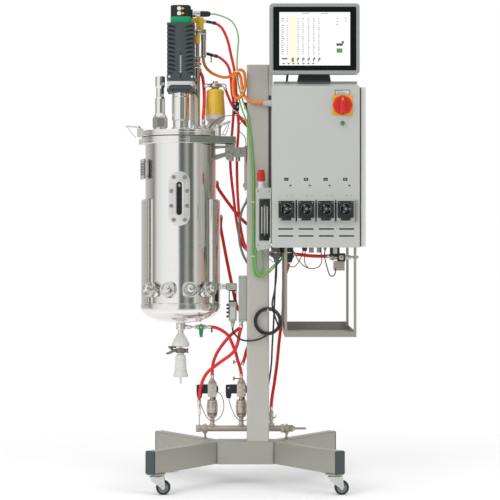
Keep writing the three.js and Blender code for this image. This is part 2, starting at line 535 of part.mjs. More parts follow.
function buildVessel() {
  const unit = group(machine, VESSEL.axisX);
  add(unit, 'vessel', vesselShell(), FINISH.polishedSteel);
  add(unit, 'jacket', jacket(), FINISH.polishedSteel);
  add(unit, 'sight_glass_frame', sightFrame(), FINISH.brushedSteel);
  add(unit, 'sight_glass_pane', sightPane(), FINISH.glass);
  add(unit, 'lid', lid(), FINISH.polishedSteel);
  add(unit, 'lid_gasket', lidGasket(), FINISH.seal);
  for (const [side, angle] of Object.entries(LATCHES)) {
    const turn = group(unit);
    turn.rotation.z = angle;
    const hinge = pivot(turn, `latch_hinge_${side}`, 150, 0, 1278);
    hinge.rotation.y = side === 'right' ? degrees(-14) : 0;
    add(hinge, `latch_bail_${side}`, latchBail(), FINISH.zinc);
  }
  add(pivot(unit, 'stirrer_axis'), 'stirrer_shaft', stirrer(), FINISH.polishedSteel);
  add(unit, 'bearing_housing', bearingHousing(), FINISH.polishedSteel);
  add(unit, 'drive_motor', driveMotor(), FINISH.blackMetal);
  add(unit, 'motor_encoder', motorEncoder(), FINISH.blackPlastic);
  add(group(unit, CONDENSER_X), 'condenser', condenser(), FINISH.polishedSteel);
  const line = group(unit, PIPE.x, PIPE.y);
  add(line, 'inlet_pipe', inletPipe(), FINISH.polishedSteel);
  add(line, 'valve_head', valveHead(), FINISH.yellowPlastic);
  add(group(unit, FILTER.x, FILTER.y), 'air_filter', airFilter(), FINISH.amberPlastic);
  add(unit, 'drain_valve', drainValve(), FINISH.polishedSteel);
  add(pivot(unit, 'drain_handle_axis', 74, -9.5, 560), 'drain_handle', drainHandle(), FINISH.greenPlastic);
  add(unit, 'drain_cone', drainCone(), FINISH.whitePlastic);
  add(unit, 'drain_cup', drainCup(), FINISH.whitePlastic);
  add(machine, 'transmitter', transmitter(), FINISH.greyPlastic);
}

// ---------------------------------------------------------------- controls

const VENTS = { columns: 4, firstX: 139.5, pitch: 69.7, width: 53, height: 5, rows: [911, 887] };

// The folded channel at the cabinet's left that holds the flow meter behind its window.
function meterChannel() {
  const front = uprightSlab(roundedRectangle(54, 211, 2), 2, 1).translate(63.5, -152, 951);
  const window = uprightSlab(roundedRectangle(39, 149, 1.5), 20, 1).translate(67.5, -162, 944);
  const sides = [block(36.5, 38.5, -152, -96, 845.5, 1056.5), block(88.5, 90.5, -152, -96, 845.5, 1056.5)];
  const backTab = block(88, CABINET.left + 7, -100, -88, 860, 1040);
  const shelfTop = block(37, 90, -151, -97, 1054, 1056.5);
  const socket = turned([[0, 1055], [10, 1055], [10, 1064], [7, 1066], [7, 1080], [0, 1080]], 10).translate(55.5, -125, 0);
  return fuse(carve(front, window), ...sides, backTab, shelfTop, socket);
}

// The pipe and cable fittings under the cabinet.
function cabinetFittings() {
  const hoseBlocks = [50, 72].map((y) => block(94, 134, y - 9, y + 9, 812, 852));
  const elbows = [50, 72].map((y) => rod(7, 0, 12, 8).rotateY(-RIGHT_ANGLE).translate(96, y, 824));
  const glands = [[111, -62, 795], [133, -45, 828], [157, -100, 795], [160, 182, 798]].map(([x, y, z]) => turned(
    [[0, z], [7, z], [9, z + 12], [12, z + 13], [12, 852], [0, 852]], 6).translate(x, y, 0));
  const coil = block(300, 332, -116, -84, 818, 852);
  const valve = block(312, 350, -112, -88, 766, 800);
  const valveNut = block(326, 352, -113, -87, 798, 826);
  const nozzle = turned([[0, 0], [8, 0], [8, 20], [5, 22], [5, 50], [0, 50]], 8).rotateY(RIGHT_ANGLE).translate(350, -100, 812);
  const glandPair = [236, 264].map((x) => rod(9, 828, 852, 8).translate(x, -40, 0));
  return [...hoseBlocks, ...elbows, ...glands, coil, valve, valveNut, nozzle, ...glandPair];
}

// The sheet cabinet with its overhanging front, sloped roof edge and blind vent slots.
function cabinet() {
  const { left, right, front, back, bottom, top, roof } = CABINET;
  const side = polygon([[front + 12, bottom + 3], [back, bottom + 3], [back, roof], [-190, roof], [front + 4, top - 1],
    [front + 4, top - 20]]);
  const housing = slab(side, right - left - 12).rotateX(RIGHT_ANGLE).rotateZ(RIGHT_ANGLE).translate(left + 6, 0, 0);
  const door = uprightSlab(roundedRectangle(right - left, top - bottom, 3), 20, 1).translate((left + right) / 2, front,
    (top + bottom) / 2);
  const slots = VENTS.rows.flatMap((z) => Array.from({ length: VENTS.columns }, (_, i) => uprightSlab(
    roundedRectangle(VENTS.width, VENTS.height, 2.4), 14, 1).translate(VENTS.firstX + i * VENTS.pitch, front - 5, z)));
  const lamp = turned([[0, 0], [7, -1], [7.5, 4], [10, 5], [10, 12], [0, 12]].map(([r, z]) => [r, z - 9]), 12)
    .rotateX(-RIGHT_ANGLE).translate(334.3, front, 1273.6);
  const cableSocket = turned([[0, 0], [9, 0], [9, 14], [12, 14], [12, 36], [0, 36]], 10).rotateY(RIGHT_ANGLE)
    .translate(64, -58, 1360);
  return fuse(carve(fuse(housing, door, isolatorPlate()), ...slots, isolatorHole()), lamp, cableSocket, meterChannel(), ...cabinetFittings());
}

// The narrow cover down the cabinet's right side, stood off on two rails.
function sideCover() {
  const { right, bottom, top, back } = CABINET;
  const cover = slab(roundedRectangle(18, 424, 2), top - bottom - 6).translate(right + 13, back - 222, bottom + 3);
  const rails = [-190, 150].map((y) => block(right - 6 + GAP, right + 6, y, y + 14, bottom + 30, top - 30));
  return fuse(cover, ...rails);
}

const ISOLATOR = { x: 334.6, z: 1336.5 };

// The isolator's square plate on the door, and the hole that the knob's spindle turns in.
const isolatorPlate = () => uprightSlab(roundedRectangle(70, 70, 3), 4, 1).translate(ISOLATOR.x, CABINET.front - 3, ISOLATOR.z);
const isolatorHole = () => rod(7, -8, 8, 10).rotateX(RIGHT_ANGLE).translate(ISOLATOR.x, CABINET.front, ISOLATOR.z);

// A rotary isolator knob: a skirted disc with a tapered grip across it, and its spindle.
function switchKnob() {
  const skirt = turned([[0, 0], [33, 0], [33, 6], [30, 12], [0, 12]], 20).rotateX(RIGHT_ANGLE);
  const grip = uprightSlab(polygon([[-9, -27], [9, -27], [8, 20], [0, 28], [-8, 20]]), 16).translate(0, -28, 0);
  return fuse(skirt, grip, rod(6, -6, 1).rotateX(RIGHT_ANGLE)).translate(0, -3 - GAP, 0);
}

const pumpX = (index) => PUMP.firstX + index * PUMP.pitch;

// The pump row: four framed bays side by side, each with its black head and round rotor recess.
function pumpBank() {
  const { centreZ: z, headWidth, headHeight, recessRadius, pitch } = PUMP;
  const front = CABINET.front;
  const bays = [0, 1, 2, 3].map((i) => uprightSlab(roundedRectangle(61, 74, 2), 14, 1).translate(pumpX(i), front - 14 - GAP, z));
  const rail = block(pumpX(0) - 28, pumpX(3) + 42, front - 5, front - GAP, z - 37, z + 37);
  const endCheek = block(pumpX(3) + 32, pumpX(3) + 42, front - 12, front - 2, z - 37, z + 37);
  const head = roundedRectangle(headWidth, headHeight, 3);
  const heads = [0, 1, 2, 3].map((i) => carve(
    uprightSlab(head, 16, 1).translate(pumpX(i), front - 29, z),
    block(-27, -16, -300, -200, -34, -25).translate(pumpX(i), 0, z),
    block(16, 27, -300, -200, -34, -25).translate(pumpX(i), 0, z),
  ));
  const recesses = [0, 1, 2, 3].flatMap((i) => [
    rod(recessRadius, -12, 1, 12).rotateX(RIGHT_ANGLE).translate(pumpX(i), front - 29.5, z + 6),
    rod(3.6, -22, 1, 8).rotateX(RIGHT_ANGLE).translate(pumpX(i), front - 29.5, z + 6),
  ]);
  return carve(fuse(rail, endCheek, ...bays, ...heads), ...recesses);
}

// A pump rotor: the front plate, three squeezing rollers behind it and the drive spindle.
function pumpRotor() {
  const plate = rod(14, -1.5, 1, 9);
  const rollers = [0, 1, 2].map((i) => rod(4.6, -10, -1, 6).translate(13, 0, 0).rotateZ(i * 2 * Math.PI / 3));
  return fuse(plate, ...rollers, rod(3.2, -20, 0, 6)).rotateX(RIGHT_ANGLE);
}

const METER = { x: 67.5, y: -132, bottom: 872, top: 1016, bore: 4.2 };

// The flow meter's clear block, bored for the float and stopped by a screw at the top.
function flowMeter() {
  const { bottom, top, bore } = METER;
  const housing = slab(roundedRectangle(36, 30, 2), top - bottom).translate(0, 0, bottom);
  const boss = rod(9, 14, 17, 14).rotateX(RIGHT_ANGLE).translate(0, 0, bottom + 14);
  return carve(fuse(housing, boss), rod(bore, bottom + 28, top + 1, 12),
    rod(3.4, 6, 30, 10).rotateX(RIGHT_ANGLE).translate(0, 0, bottom + 14));
}

const meterFloat = () => turned([[0, 0], [2, 4], [3.6, 9], [3.6, 12], [0, 12]], 10);

const meterKnob = () => fuse(turned([[0, 0], [8, 0], [8, 10], [7, 11], [0, 11]], 12), rod(3, -8, 1, 10))
  .rotateX(RIGHT_ANGLE);

const regulatorKnob = () => turned([[0, 0], [13.5, 0], [13.5, 30], [11.5, 40], [0, 40]], 14);

function monitor() {
  const { width, height, depth } = MONITOR;
  const shell = uprightSlab(roundedRectangle(width, height, 13), depth - 15, 3);
  const rear = uprightSlab(roundedRectangle(width - 30, height - 30, 10), 16, 2).translate(0, depth - 16, 0);
  const glassRecess = uprightSlab(roundedRectangle(width - 22, height - 22, 6), 3, 2).translate(0, -1, 0);
  const ears = [-1, 1].map((side) => carve(
    block(side * 30 - 3, side * 30 + 3, depth - 2, depth + 30, -84, -50),
    rod(5.5, -50, 50, 10).rotateY(RIGHT_ANGLE).translate(0, depth + 20, -68),
  ));
  return fuse(carve(fuse(shell, rear), glassRecess), ...ears);
}

// The monitor's foot: a base plate, a raked upright and the cross pin that the ears turn on.
function monitorStand() {
  const foot = block(-59, 59, -29, 58, 0, 4);
  const rake = slab(polygon([[-14, 3], [44, 3], [12, 70], [-8, 70]]), 50).rotateX(RIGHT_ANGLE).rotateZ(RIGHT_ANGLE)
    .translate(-25, 0, 0);
  const riser = block(-54, 54, -29, -13, 3, 16);
  const barrel = rod(11, -25, 25, 12).rotateY(RIGHT_ANGLE).translate(0, 0, 76);
  const pin = rod(5, -36, 36, 10).rotateY(RIGHT_ANGLE).translate(0, 0, 76);
  return fuse(foot, rake, riser, barrel, pin);
}

// The wire-post shelf: an open tray hung on four square posts.
function shelf() {
  const { left, right, front, back, bottom, lip, post } = SHELF;
  const tray = carve(block(left, right, front, back, bottom, bottom + lip),
    block(left + 2, right - 2, front + 2, back - 2, bottom + 2, bottom + lip + 5));
  const rearLip = block(left, right, back - 2, back, bottom + 1, bottom + 31);
  const posts = [left, right - post].flatMap((x) => [front, back - post - 12].map((y) => block(x, x + post, y, y + post,
    bottom + 1, CABINET.bottom + 3 - GAP)));
  return fuse(tray, rearLip, ...posts);
}

function buildControls() {
  const controls = group(machine);
  add(controls, 'cabinet', cabinet(), FINISH.paintedGrey);
  add(controls, 'cabinet_side_cover', sideCover(), FINISH.paintedGrey);
  add(pivot(controls, 'switch_knob_axis', ISOLATOR.x, CABINET.front, ISOLATOR.z), 'switch_knob', switchKnob(),
    FINISH.redPlastic);
  add(controls, 'pump_bank', pumpBank(), FINISH.blackPlastic);
  for (const index of [0, 1, 2, 3]) {
    const axis = pivot(controls, `pump_rotor_axis_${index + 1}`, pumpX(index), CABINET.front - 29.5, PUMP.centreZ + 6);
    add(axis, `pump_rotor_${index + 1}`, pumpRotor(), FINISH.greyPlastic);
  }
  const meter = group(controls, METER.x, METER.y);
  add(meter, 'flow_meter', flowMeter(), FINISH.glass);
  add(pivot(meter, 'flow_meter_float_axis', 0, 0, 901), 'flow_meter_float', meterFloat(), FINISH.blackMetal);
  add(pivot(meter, 'flow_meter_knob_axis', 0, -17 - GAP, METER.bottom + 14), 'flow_meter_knob', meterKnob(),
    FINISH.blackPlastic);
  add(pivot(controls, 'regulator_knob_axis', 55.5, -125, 1080.4), 'regulator_knob', regulatorKnob(), FINISH.redPlastic);
  const tiltY = MONITOR.front + MONITOR.depth + 20;
  const screen = pivot(controls, 'monitor_tilt', MONITOR.centreX, tiltY, MONITOR.centreZ - 68);
  const panel = group(screen, 0, -MONITOR.depth - 20, 68);
  add(panel, 'monitor', monitor(), FINISH.greyPlastic);
  add(group(controls, MONITOR.centreX, tiltY, MONITOR.centreZ - 68 - 76), 'monitor_stand', monitorStand(),
    FINISH.blackMetal);
  add(controls, 'shelf', shelf(), FINISH.brushedSteel);
}

// ---------------------------------------------------------------- condensate manifold

// A solenoid valve on a bulb filter, rising from the header pipe; its coil points left.
function condensateValve(x) {
  const base = MANIFOLD.z;
  const bulb = turned([[0, base], [6, base], [6, 222], [17, 234], [20.5, 256], [17, 282], [9, 292], [9, 304], [0, 304]], 10);
  const body = slab(roundedRectangle(39, 39, 8), 50, 1).translate(0, 0, 304);
  const cap = turned([[0, 350], [14, 350], [11, 360], [5, 364], [5, 372], [0, 372]], 8);
  const coil = block(-42, -16, -14, 14, 306, 349);
  const plug = block(-57, -40, -11, 11, 302, 347);
  return [bulb, body, cap, coil, plug].map((piece) => piece.translate(x, MANIFOLD.y, 0));
}

function manifold() {
  const { y, z, radius, left, right } = MANIFOLD;
  const pipe = turned([[0, left], [12, left], [12, left + 42], [radius, left + 42], [radius, 132], [14, 150], [12, 178],
    [4.4, 180], [4.4, 221], [0, 221]], 10).rotateY(RIGHT_ANGLE).translate(0, y, z);
  const pins = [-147, 150].map((x) => turned([[0, STAND.top + GAP], [3.5, STAND.top + GAP], [3.5, 172], [8, 178], [0, 178]], 6)
    .translate(x, y, 0));
  const gauge = fuse(strut([-168, y - 4, 190], [-168, 46, 240], 2.5, 6), rod(4.5, 236, 280, 8).translate(-168, 44, 0));
  const feed = turned([[0, 190], [8, 190], [8, 246], [6, 248], [6, 256], [0, 256]], 8).translate(94, y, 0);
  return fuse(pipe, ...pins, gauge, feed, ...condensateValve(-121), ...condensateValve(-15));
}

// ---------------------------------------------------------------- hoses and cables

// A soft line along a smooth route: the route's points are given by hand, end to end.
function line(points, diameter, sides = 8) {
  const route = new THREE.CatmullRomCurve3(points.map((p) => new THREE.Vector3(...p)), false, 'centripetal');
  const section = new THREE.Shape(Array.from({ length: sides }, (_, i) => new THREE.Vector2(
    diameter / 2 * Math.cos(2 * Math.PI * i / sides), diameter / 2 * Math.sin(2 * Math.PI * i / sides))));
  const steps = Math.min(64, Math.max(8, Math.round(route.getLength() / (3 * diameter))));
  return new THREE.ExtrudeGeometry(section, { steps, extrudePath: route, bevelEnabled: false });
}

// Red steam and gas hoses, 12 mm across.
const HOSES = {
  hose_valve_upper: [[-120.5, 68, 1665.5], [-110.7, 68, 1663.1], [-88, 66, 1648], [-72, 64, 1619], [-63, 62, 1594], [-51, 59, 1540], [-42, 56, 1500],
    [-36, 54, 1456], [-33, 52, 1402], [-31, 51, 1361], [-25, 51, 1292], [-31, 51, 1176], [-27, 51, 1019], [-16, 50, 910],
    [4, 50, 845], [36, 50, 825], [62, 50, 824], [83.7, 50, 824]],
  hose_valve_lower: [[-114.5, 68, 1544.9], [-104.7, 68, 1542.9], [-88, 68, 1534], [-67, 68, 1513], [-56, 68, 1485], [-53, 68, 1456], [-49, 69, 1409],
    [-44, 70, 1383], [-43, 71, 1347], [-48, 72, 1274], [-56, 72, 1168], [-42, 72, 1019], [-30, 72, 928], [-12, 72, 858],
    [18, 72, 828], [54, 72, 824], [83.7, 72, 824]],
  hose_trap: [[-15, 20, 571.5], [-15, 20, 560], [-28, 24, 550], [-52, 34, 530], [-85, 48, 491], [-107, 58, 455], [-119, 65, 418],
    [-121, 66.6, 384], [-121, 66.6, 372.3]],
  hose_condensate: [[-15, 0, 571.5], [-15, 0, 560], [-21, 2, 538], [-27, 5, 505], [-37, 10, 478], [-56, 15, 457], [-85, 23, 436],
    [-114, 31, 414], [-137, 36, 394], [-153, 39, 368], [-165, 42, 325], [-168, 44, 292], [-168, 44, 280.3]],
  hose_drain: [[-134.7, 0, 560], [-125, 0, 560], [-108, 1, 558], [-84, 6, 547], [-62, 13, 528], [-47, 23, 496], [-36, 33, 468],
    [-29, 44, 440], [-19, 62, 406], [-15, 66.6, 384], [-15, 66.6, 372.3]],
  hose_supply: [[94, 66.6, 256.3], [94, 66.6, 268], [98, 73, 305], [105, 92, 345], [117, 148, 424], [124, 202, 484],
    [132, 230, 545], [140, 234, 605], [142, 234, 690], [148, 224, 738], [157, 196, 768], [160, 182, 785], [160, 182, 797.5]],
};

// The sensor's orange cable: down from the sensor to a tied hank, and from the hank to the cabinet.
const SENSOR_CABLE = {
  diameter: 11,
  upper: [[-153, 68, 1535.6], [-153, 68, 1526], [-144, 62, 1503], [-125, 48, 1482], [-103, 28, 1469], [-78, 3, 1464],
    [-62, -24, 1463], [-51.5, -42, 1462]],
  tail: [[-3.2, -55, 1384], [5, -56, 1376], [16, -57, 1368.5], [30, -58, 1363], [47, -58, 1360.4], [63.7, -58, 1360]],
};

// The green and yellow earth lead: down the column to one tied loop, then up to its gland.
const EARTH_LEAD = {
  diameter: 6.5,
  route: [[-125.5, 0, 1687], [-116, 0, 1687], [-84, -1, 1679], [-52, -6, 1662], [-34, -12, 1636], [-25, -18, 1599], [-28, -24, 1547],
    [-30, -30, 1490], [-25, -30, 1435], [-13, -33, 1385], [-5, -41, 1358], [7, -46, 1326], [16, -46, 1266], [24, -46, 1194],
    [30, -46, 1100], [31, -46, 1016], [32, -46, 891], [31, -46, 820], [34, -46, 774], [43, -46, 748], [55, -47, 750],
    [61, -49, 776], [60, -52, 812], [55, -54, 838], [46, -56, 849], [38, -58, 837], [36, -58, 806], [39, -58, 772],
    [49, -58, 749], [62, -57, 747], [76, -56, 758], [92, -54, 774], [110, -50, 790], [127, -46, 803], [133, -45, 817], [133, -45, 827.5]],
};

// The probe's black cable: round the front of the column to the coil on its hook.
const PROBE_CABLE = {
  diameter: 6.4,
  route: [[-46, 0, 559.6], [-46, 0, 552], [-43, -5, 541], [-34, -16, 531], [-21, -32, 520], [-7, -45, 515], [10, -51, 513.5],
    [34, -55, 516], [55, -56, 522], [69, -56, 529.4]],
  coil: { x: 80, y: -56, z: 583.9, outer: 51.5, inner: 37.5, thickness: 15 },
};

const HANK = { x: -24.4, y: -55, z: 1430, width: 50, height: 112, opening: 15, thickness: 21 };

// The tied hank's outline: a ring with long straight sides.
function hank() {
  const { width, height, opening, thickness } = HANK;
  const strands = (width - opening) / 2;
  return carve(
    uprightSlab(roundedRectangle(width, height, width / 2 - 0.01), thickness, 4).translate(0, -thickness / 2, 0),
    uprightSlab(roundedRectangle(opening, height - 2 * strands, opening / 2 - 0.01), 2 * thickness, 2)
      .translate(0, -thickness, 0),
  );
}

function coil() {
  const { outer, inner, thickness } = PROBE_CABLE.coil;
  const half = thickness / 2;
  return facingOut(turnedRing([[inner, half - 3], [inner + 3, half], [outer - 3, half], [outer, half - 3],
    [outer, 3 - half], [outer - 3, -half], [inner + 3, -half], [inner, 3 - half]], 20)).rotateX(RIGHT_ANGLE);
}

function buildLines() {
  const lines = group(machine);
  for (const [name, points] of Object.entries(HOSES)) add(lines, name, line(points, 12), FINISH.redHose);
  add(lines, 'sensor_cable', line(SENSOR_CABLE.upper, SENSOR_CABLE.diameter), FINISH.orangeCable);
  add(group(lines, HANK.x, HANK.y, HANK.z), 'sensor_cable_hank', hank(), FINISH.orangeCable);
  add(lines, 'sensor_cable_tail', line(SENSOR_CABLE.tail, SENSOR_CABLE.diameter), FINISH.orangeCable);
  add(lines, 'earth_lead', line(EARTH_LEAD.route, EARTH_LEAD.diameter), FINISH.greenCable);
  add(lines, 'probe_cable', line(PROBE_CABLE.route, PROBE_CABLE.diameter), FINISH.blackCable);
  const { x, y, z } = PROBE_CABLE.coil;
  add(group(lines, x, y, z), 'probe_cable_coil', coil(), FINISH.blackCable);
}

buildStand();
buildVessel();
buildControls();
add(machine, 'manifold', manifold(), FINISH.brushedSteel);

// The rigid machine is set with the middle of its base at the origin.
const extent = new THREE.Box3().setFromObject(machine, true);
const middle = extent.getCenter(new THREE.Vector3());
machine.position.set(-middle.x, -middle.y, -extent.min.z);
buildLines();

export default machine;
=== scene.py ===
"""A stand-mounted pilot bioreactor, dressed piece by piece over its packed solids.

Lengths in the code are in the part's own millimetres, measured from the middle of its stand. The forms turn
them into metres in the frame when they become objects.
"""
import json
import math

import bmesh
import bpy
from bpy.props import FloatProperty, FloatVectorProperty, IntProperty, PointerProperty
from mathutils import Matrix, Vector

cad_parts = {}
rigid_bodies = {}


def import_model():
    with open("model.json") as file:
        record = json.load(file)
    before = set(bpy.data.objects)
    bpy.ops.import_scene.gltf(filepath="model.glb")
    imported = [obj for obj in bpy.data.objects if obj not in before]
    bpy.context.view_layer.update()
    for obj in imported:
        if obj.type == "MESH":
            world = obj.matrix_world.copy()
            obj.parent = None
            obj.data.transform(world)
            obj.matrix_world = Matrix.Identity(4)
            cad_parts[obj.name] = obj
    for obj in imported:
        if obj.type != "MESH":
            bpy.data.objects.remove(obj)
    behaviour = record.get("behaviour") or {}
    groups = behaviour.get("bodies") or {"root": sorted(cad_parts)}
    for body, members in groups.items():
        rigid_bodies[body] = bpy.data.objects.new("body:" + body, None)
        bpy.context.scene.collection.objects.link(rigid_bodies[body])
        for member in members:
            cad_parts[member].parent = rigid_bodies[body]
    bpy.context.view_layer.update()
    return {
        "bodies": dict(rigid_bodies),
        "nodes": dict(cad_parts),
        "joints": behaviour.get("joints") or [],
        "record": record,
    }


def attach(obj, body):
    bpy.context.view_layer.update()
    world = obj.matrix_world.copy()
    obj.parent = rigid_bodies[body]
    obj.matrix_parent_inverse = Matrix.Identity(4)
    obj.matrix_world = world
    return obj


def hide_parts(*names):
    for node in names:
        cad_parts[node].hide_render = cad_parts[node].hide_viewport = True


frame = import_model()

bl_info = {
    "name": "Stand-mounted bioreactor",
    "version": (1, 0, 0),
    "blender": (4, 5, 0),
    "location": "3D View > Sidebar > Bioreactor",
    "description": "Dresses the packed stand-mounted bioreactor and sets it in its studio",
    "category": "Object",
}

NODES = frame["nodes"]
CENTRING = 6.8  # mm between the stand's own middle and the frame's origin, along X
VESSEL_X = -233.0  # the vessel's axis
FRONT = Matrix.Rotation(math.pi / 2, 4, "X")  # turns +Z to face the front


# ------------------------------------------------------------------ sizes and colours


def srgb(code):
    """The linear colour of a six-digit colour code."""
    parts = [int(code[i:i + 2], 16) / 255 for i in (0, 2, 4)]
    return tuple(((p + 0.055) / 1.055) ** 2.4 if p > 0.04045 else p / 12.92 for p in parts)


def colour(name, description, code):
    return FloatVectorProperty(name=name, description=description, subtype="COLOR", size=3, min=0, max=1,
                               default=srgb(code))


def length(name, description, default, low=0.0, high=10.0):
    return FloatProperty(name=name, description=description, default=default, min=low, max=high, unit="LENGTH",
                         subtype="DISTANCE")


def share(name, description, default, high=1.0):
    return FloatProperty(name=name, description=description, default=default, min=0, max=high, subtype="FACTOR")


class FinishSettings(bpy.types.PropertyGroup):
    """Colours and gloss of the machine's finishes"""

    steel: colour("Polished steel", "Tint of the mirror-polished stainless steel", "eeece8")
    brushed: colour("Brushed steel", "Tint of the ground stainless tubes and plates", "cfcbc3")
    cabinet: colour("Cabinet", "Colour of the cabinet's satin sheets", "d2d4d0")
    roof: colour("Cabinet roof", "Colour of the cabinet's darker top fold", "8a8c89")
    casting: colour("Motor", "Colour of the motor's coated casting", "454d4f")
    black: colour("Black plastic", "Colour of black mouldings", "1d2021")
    grey: colour("Grey plastic", "Colour of grey mouldings", "9fa3a3")
    white: colour("White polymer", "Colour of the turned harvest parts", "e9e9e5")
    red: colour("Red plastic", "Colour of the isolator and regulator knobs", "dd2a1f")
    # The valve head and its standpipe sleeve take a brighter copy of this yellow, with painted light against the shade
    # behind the motor.
    yellow: colour("Yellow plastic", "Colour of the isolator plate and valve head", "f2b511")
    amber: colour("Amber housing", "Colour of the filter's tinted housing", "f9c232")
    green: colour("Green grip", "Colour of the encoder ring and lever grip", "00a06c")
    hose: colour("Red hose", "Colour of the smooth steam hoses", "f8221c")
    sensor: colour("Orange cable", "Colour of the sensor cable's jacket", "ff8c22")
    earth: colour("Earth lead", "Green of the earth lead's jacket", "84c66e")
    rubber: colour("Rubber", "Colour of tyres and black cables", "26292a")
    polish_roughness: share("Polish roughness", "Roughness of the polished steel", 0.115)
    brush_roughness: share("Brush roughness", "Roughness of the brushed steel", 0.42)
    brush_metal: share("Brush metalness", "Share of the brushed steel's mirror-like part", 0.4)


class LineSettings(bpy.types.PropertyGroup):
    """Diameters of the hoses and cables"""

    hose: length("Hose", "Outside diameter of the red hoses", 0.012, 0.008, 0.014)
    sensor: length("Sensor cable", "Diameter of the orange cable", 0.011, 0.008, 0.012)
    earth: length("Earth lead", "Diameter of the green and yellow lead", 0.0056, 0.004, 0.008)
    probe: length("Probe cable", "Diameter of the probe's black cable", 0.0064, 0.004, 0.007)
    steps: IntProperty(name="Steps", description="Samples between two points of a route", default=5, min=2, max=12)
    sides: IntProperty(name="Sides", description="Sides of a hose's section", default=20, min=8, max=32)


class StudioSettings(bpy.types.PropertyGroup):
    """Camera and light of the studio"""

    distance: length("Camera distance", "From the stand's middle plane to the camera", 5.58, 3, 9)
    camera_x: length("Camera X", "Sideways place of the camera", 0.0234, -1, 1)
    camera_z: length("Camera height", "Height of the camera over the floor", 0.869, 0.2, 2)
    lens: FloatProperty(name="Lens", description="Focal length", default=111.6, min=30, max=300, unit="CAMERA")
    drop: share("Downward shift", "Share of the picture that the lens is shifted down by", 0.0176)
    ambient: share("Surround light", "Strength of the even light from all round", 0.62, 2)
    overhead: FloatProperty(name="Overhead", description="Strength of the light that falls on the floor alone",
                            default=0.9, min=0, max=10)
    key: FloatProperty(name="Key light", description="Power of the large soft light at the upper left",
                       default=70, min=0, max=1000, unit="POWER")
    fill: FloatProperty(name="Fill light", description="Power of the soft light at the right", default=26, min=0,
                        max=1000, unit="POWER")


# ------------------------------------------------------------------ shader recipes


class Wire:
    """A value in a node tree. Python's operators on it add the Math nodes."""

    def __init__(self, recipe, socket):
        self.recipe, self.socket = recipe, socket

    def _math(self, operation, *values):
        return self.recipe.add("ShaderNodeMath", {"operation": operation}, dict(enumerate(values)))

    def __add__(self, other): return self._math("ADD", self, other)
    def __radd__(self, other): return self._math("ADD", other, self)
    def __sub__(self, other): return self._math("SUBTRACT", self, other)
    def __rsub__(self, other): return self._math("SUBTRACT", other, self)
    def __mul__(self, other): return self._math("MULTIPLY", self, other)
    def __rmul__(self, other): return self._math("MULTIPLY", other, self)
    def __truediv__(self, other): return self._math("DIVIDE", self, other)
    def __rtruediv__(self, other): return self._math("DIVIDE", other, self)
    def either(self, other): return self._math("MAXIMUM", self, other)


CAMERA_RAY, GLOSSY_RAY, THROUGH_RAY = 0, 3, 6  # outputs of the Light Path node


class Recipe:
    """A node tree under construction."""

    def __init__(self, tree):
        self.tree = tree
        tree.nodes.clear()

    def add(self, kind, settings=None, values=None, output=0):
        """A node of that type: its settings first, then the values or wires of its sockets."""
        node = self.tree.nodes.new(kind)
        for name, value in (settings or {}).items():
            if name == "stops":
                ramp = node.color_ramp.elements
                (ramp[0].position, ramp[0].color), (ramp[1].position, ramp[1].color) = value[0], value[-1]
                for place, tint in value[1:-1]:
                    ramp.new(place).color = tint
            else:
                setattr(node, name, value)
        for name, value in (values or {}).items():
            if isinstance(value, Wire):
                self.tree.links.new(value.socket, node.inputs[name])
            else:
                node.inputs[name].default_value = value
        return Wire(self, node.outputs[output]) if node.outputs else node

    def place(self):
        """Where a point is on the object, in metres."""
        return self.add("ShaderNodeTexCoord", output=3)

    def stretched(self, scales):
        return self.add("ShaderNodeVectorMath", {"operation": "MULTIPLY"}, {0: self.place(), 1: scales})

    def noise(self, scales, detail=3.0, roughness=0.55):
        """Noise with that many cells to the metre along each axis."""
        sockets = {"Vector": self.stretched(scales), "Scale": 1.0, "Detail": detail, "Roughness": roughness}
        return self.add("ShaderNodeTexNoise", {}, sockets)

    def between(self, amount, first, second):
        """A colour that goes from first to second as amount goes from 0 to 1."""
        return self.add("ShaderNodeMix", {"data_type": "RGBA"}, {0: amount, 6: first, 7: second}, output=2)

    def seen(self):
        """One for rays of the lens, of mirrors and of glass, and nought for all others."""
        rays = [self.add("ShaderNodeLightPath", output=output) for output in (CAMERA_RAY, GLOSSY_RAY, THROUGH_RAY)]
        return rays[0].either(rays[1]).either(rays[2])

    def bump(self, height, strength, distance):
        return self.add("ShaderNodeBump", {}, {"Height": height, "Strength": strength, "Distance": distance})

    def surface(self, **sockets):
        """The surface shader and the output."""
        names = {"colour": "Base Color", "rough": "Roughness", "metal": "Metallic", "coat": "Coat Weight",
                 "coat_rough": "Coat Roughness", "normal": "Normal", "glow": "Emission Color",
                 "glow_strength": "Emission Strength"}
        shader = self.add("ShaderNodeBsdfPrincipled", {}, {names[k]: v for k, v in sockets.items()})
        self.add("ShaderNodeOutputMaterial", {}, {"Surface": shader})


def rgba(tint, level=1.0):
    return (tint[0] * level, tint[1] * level, tint[2] * level, 1.0)


FINISHES = {}


def recipe_for(name):
    material = bpy.data.materials.new(name)
    material.use_nodes = True
    FINISHES[name] = material
    return Recipe(material.node_tree)


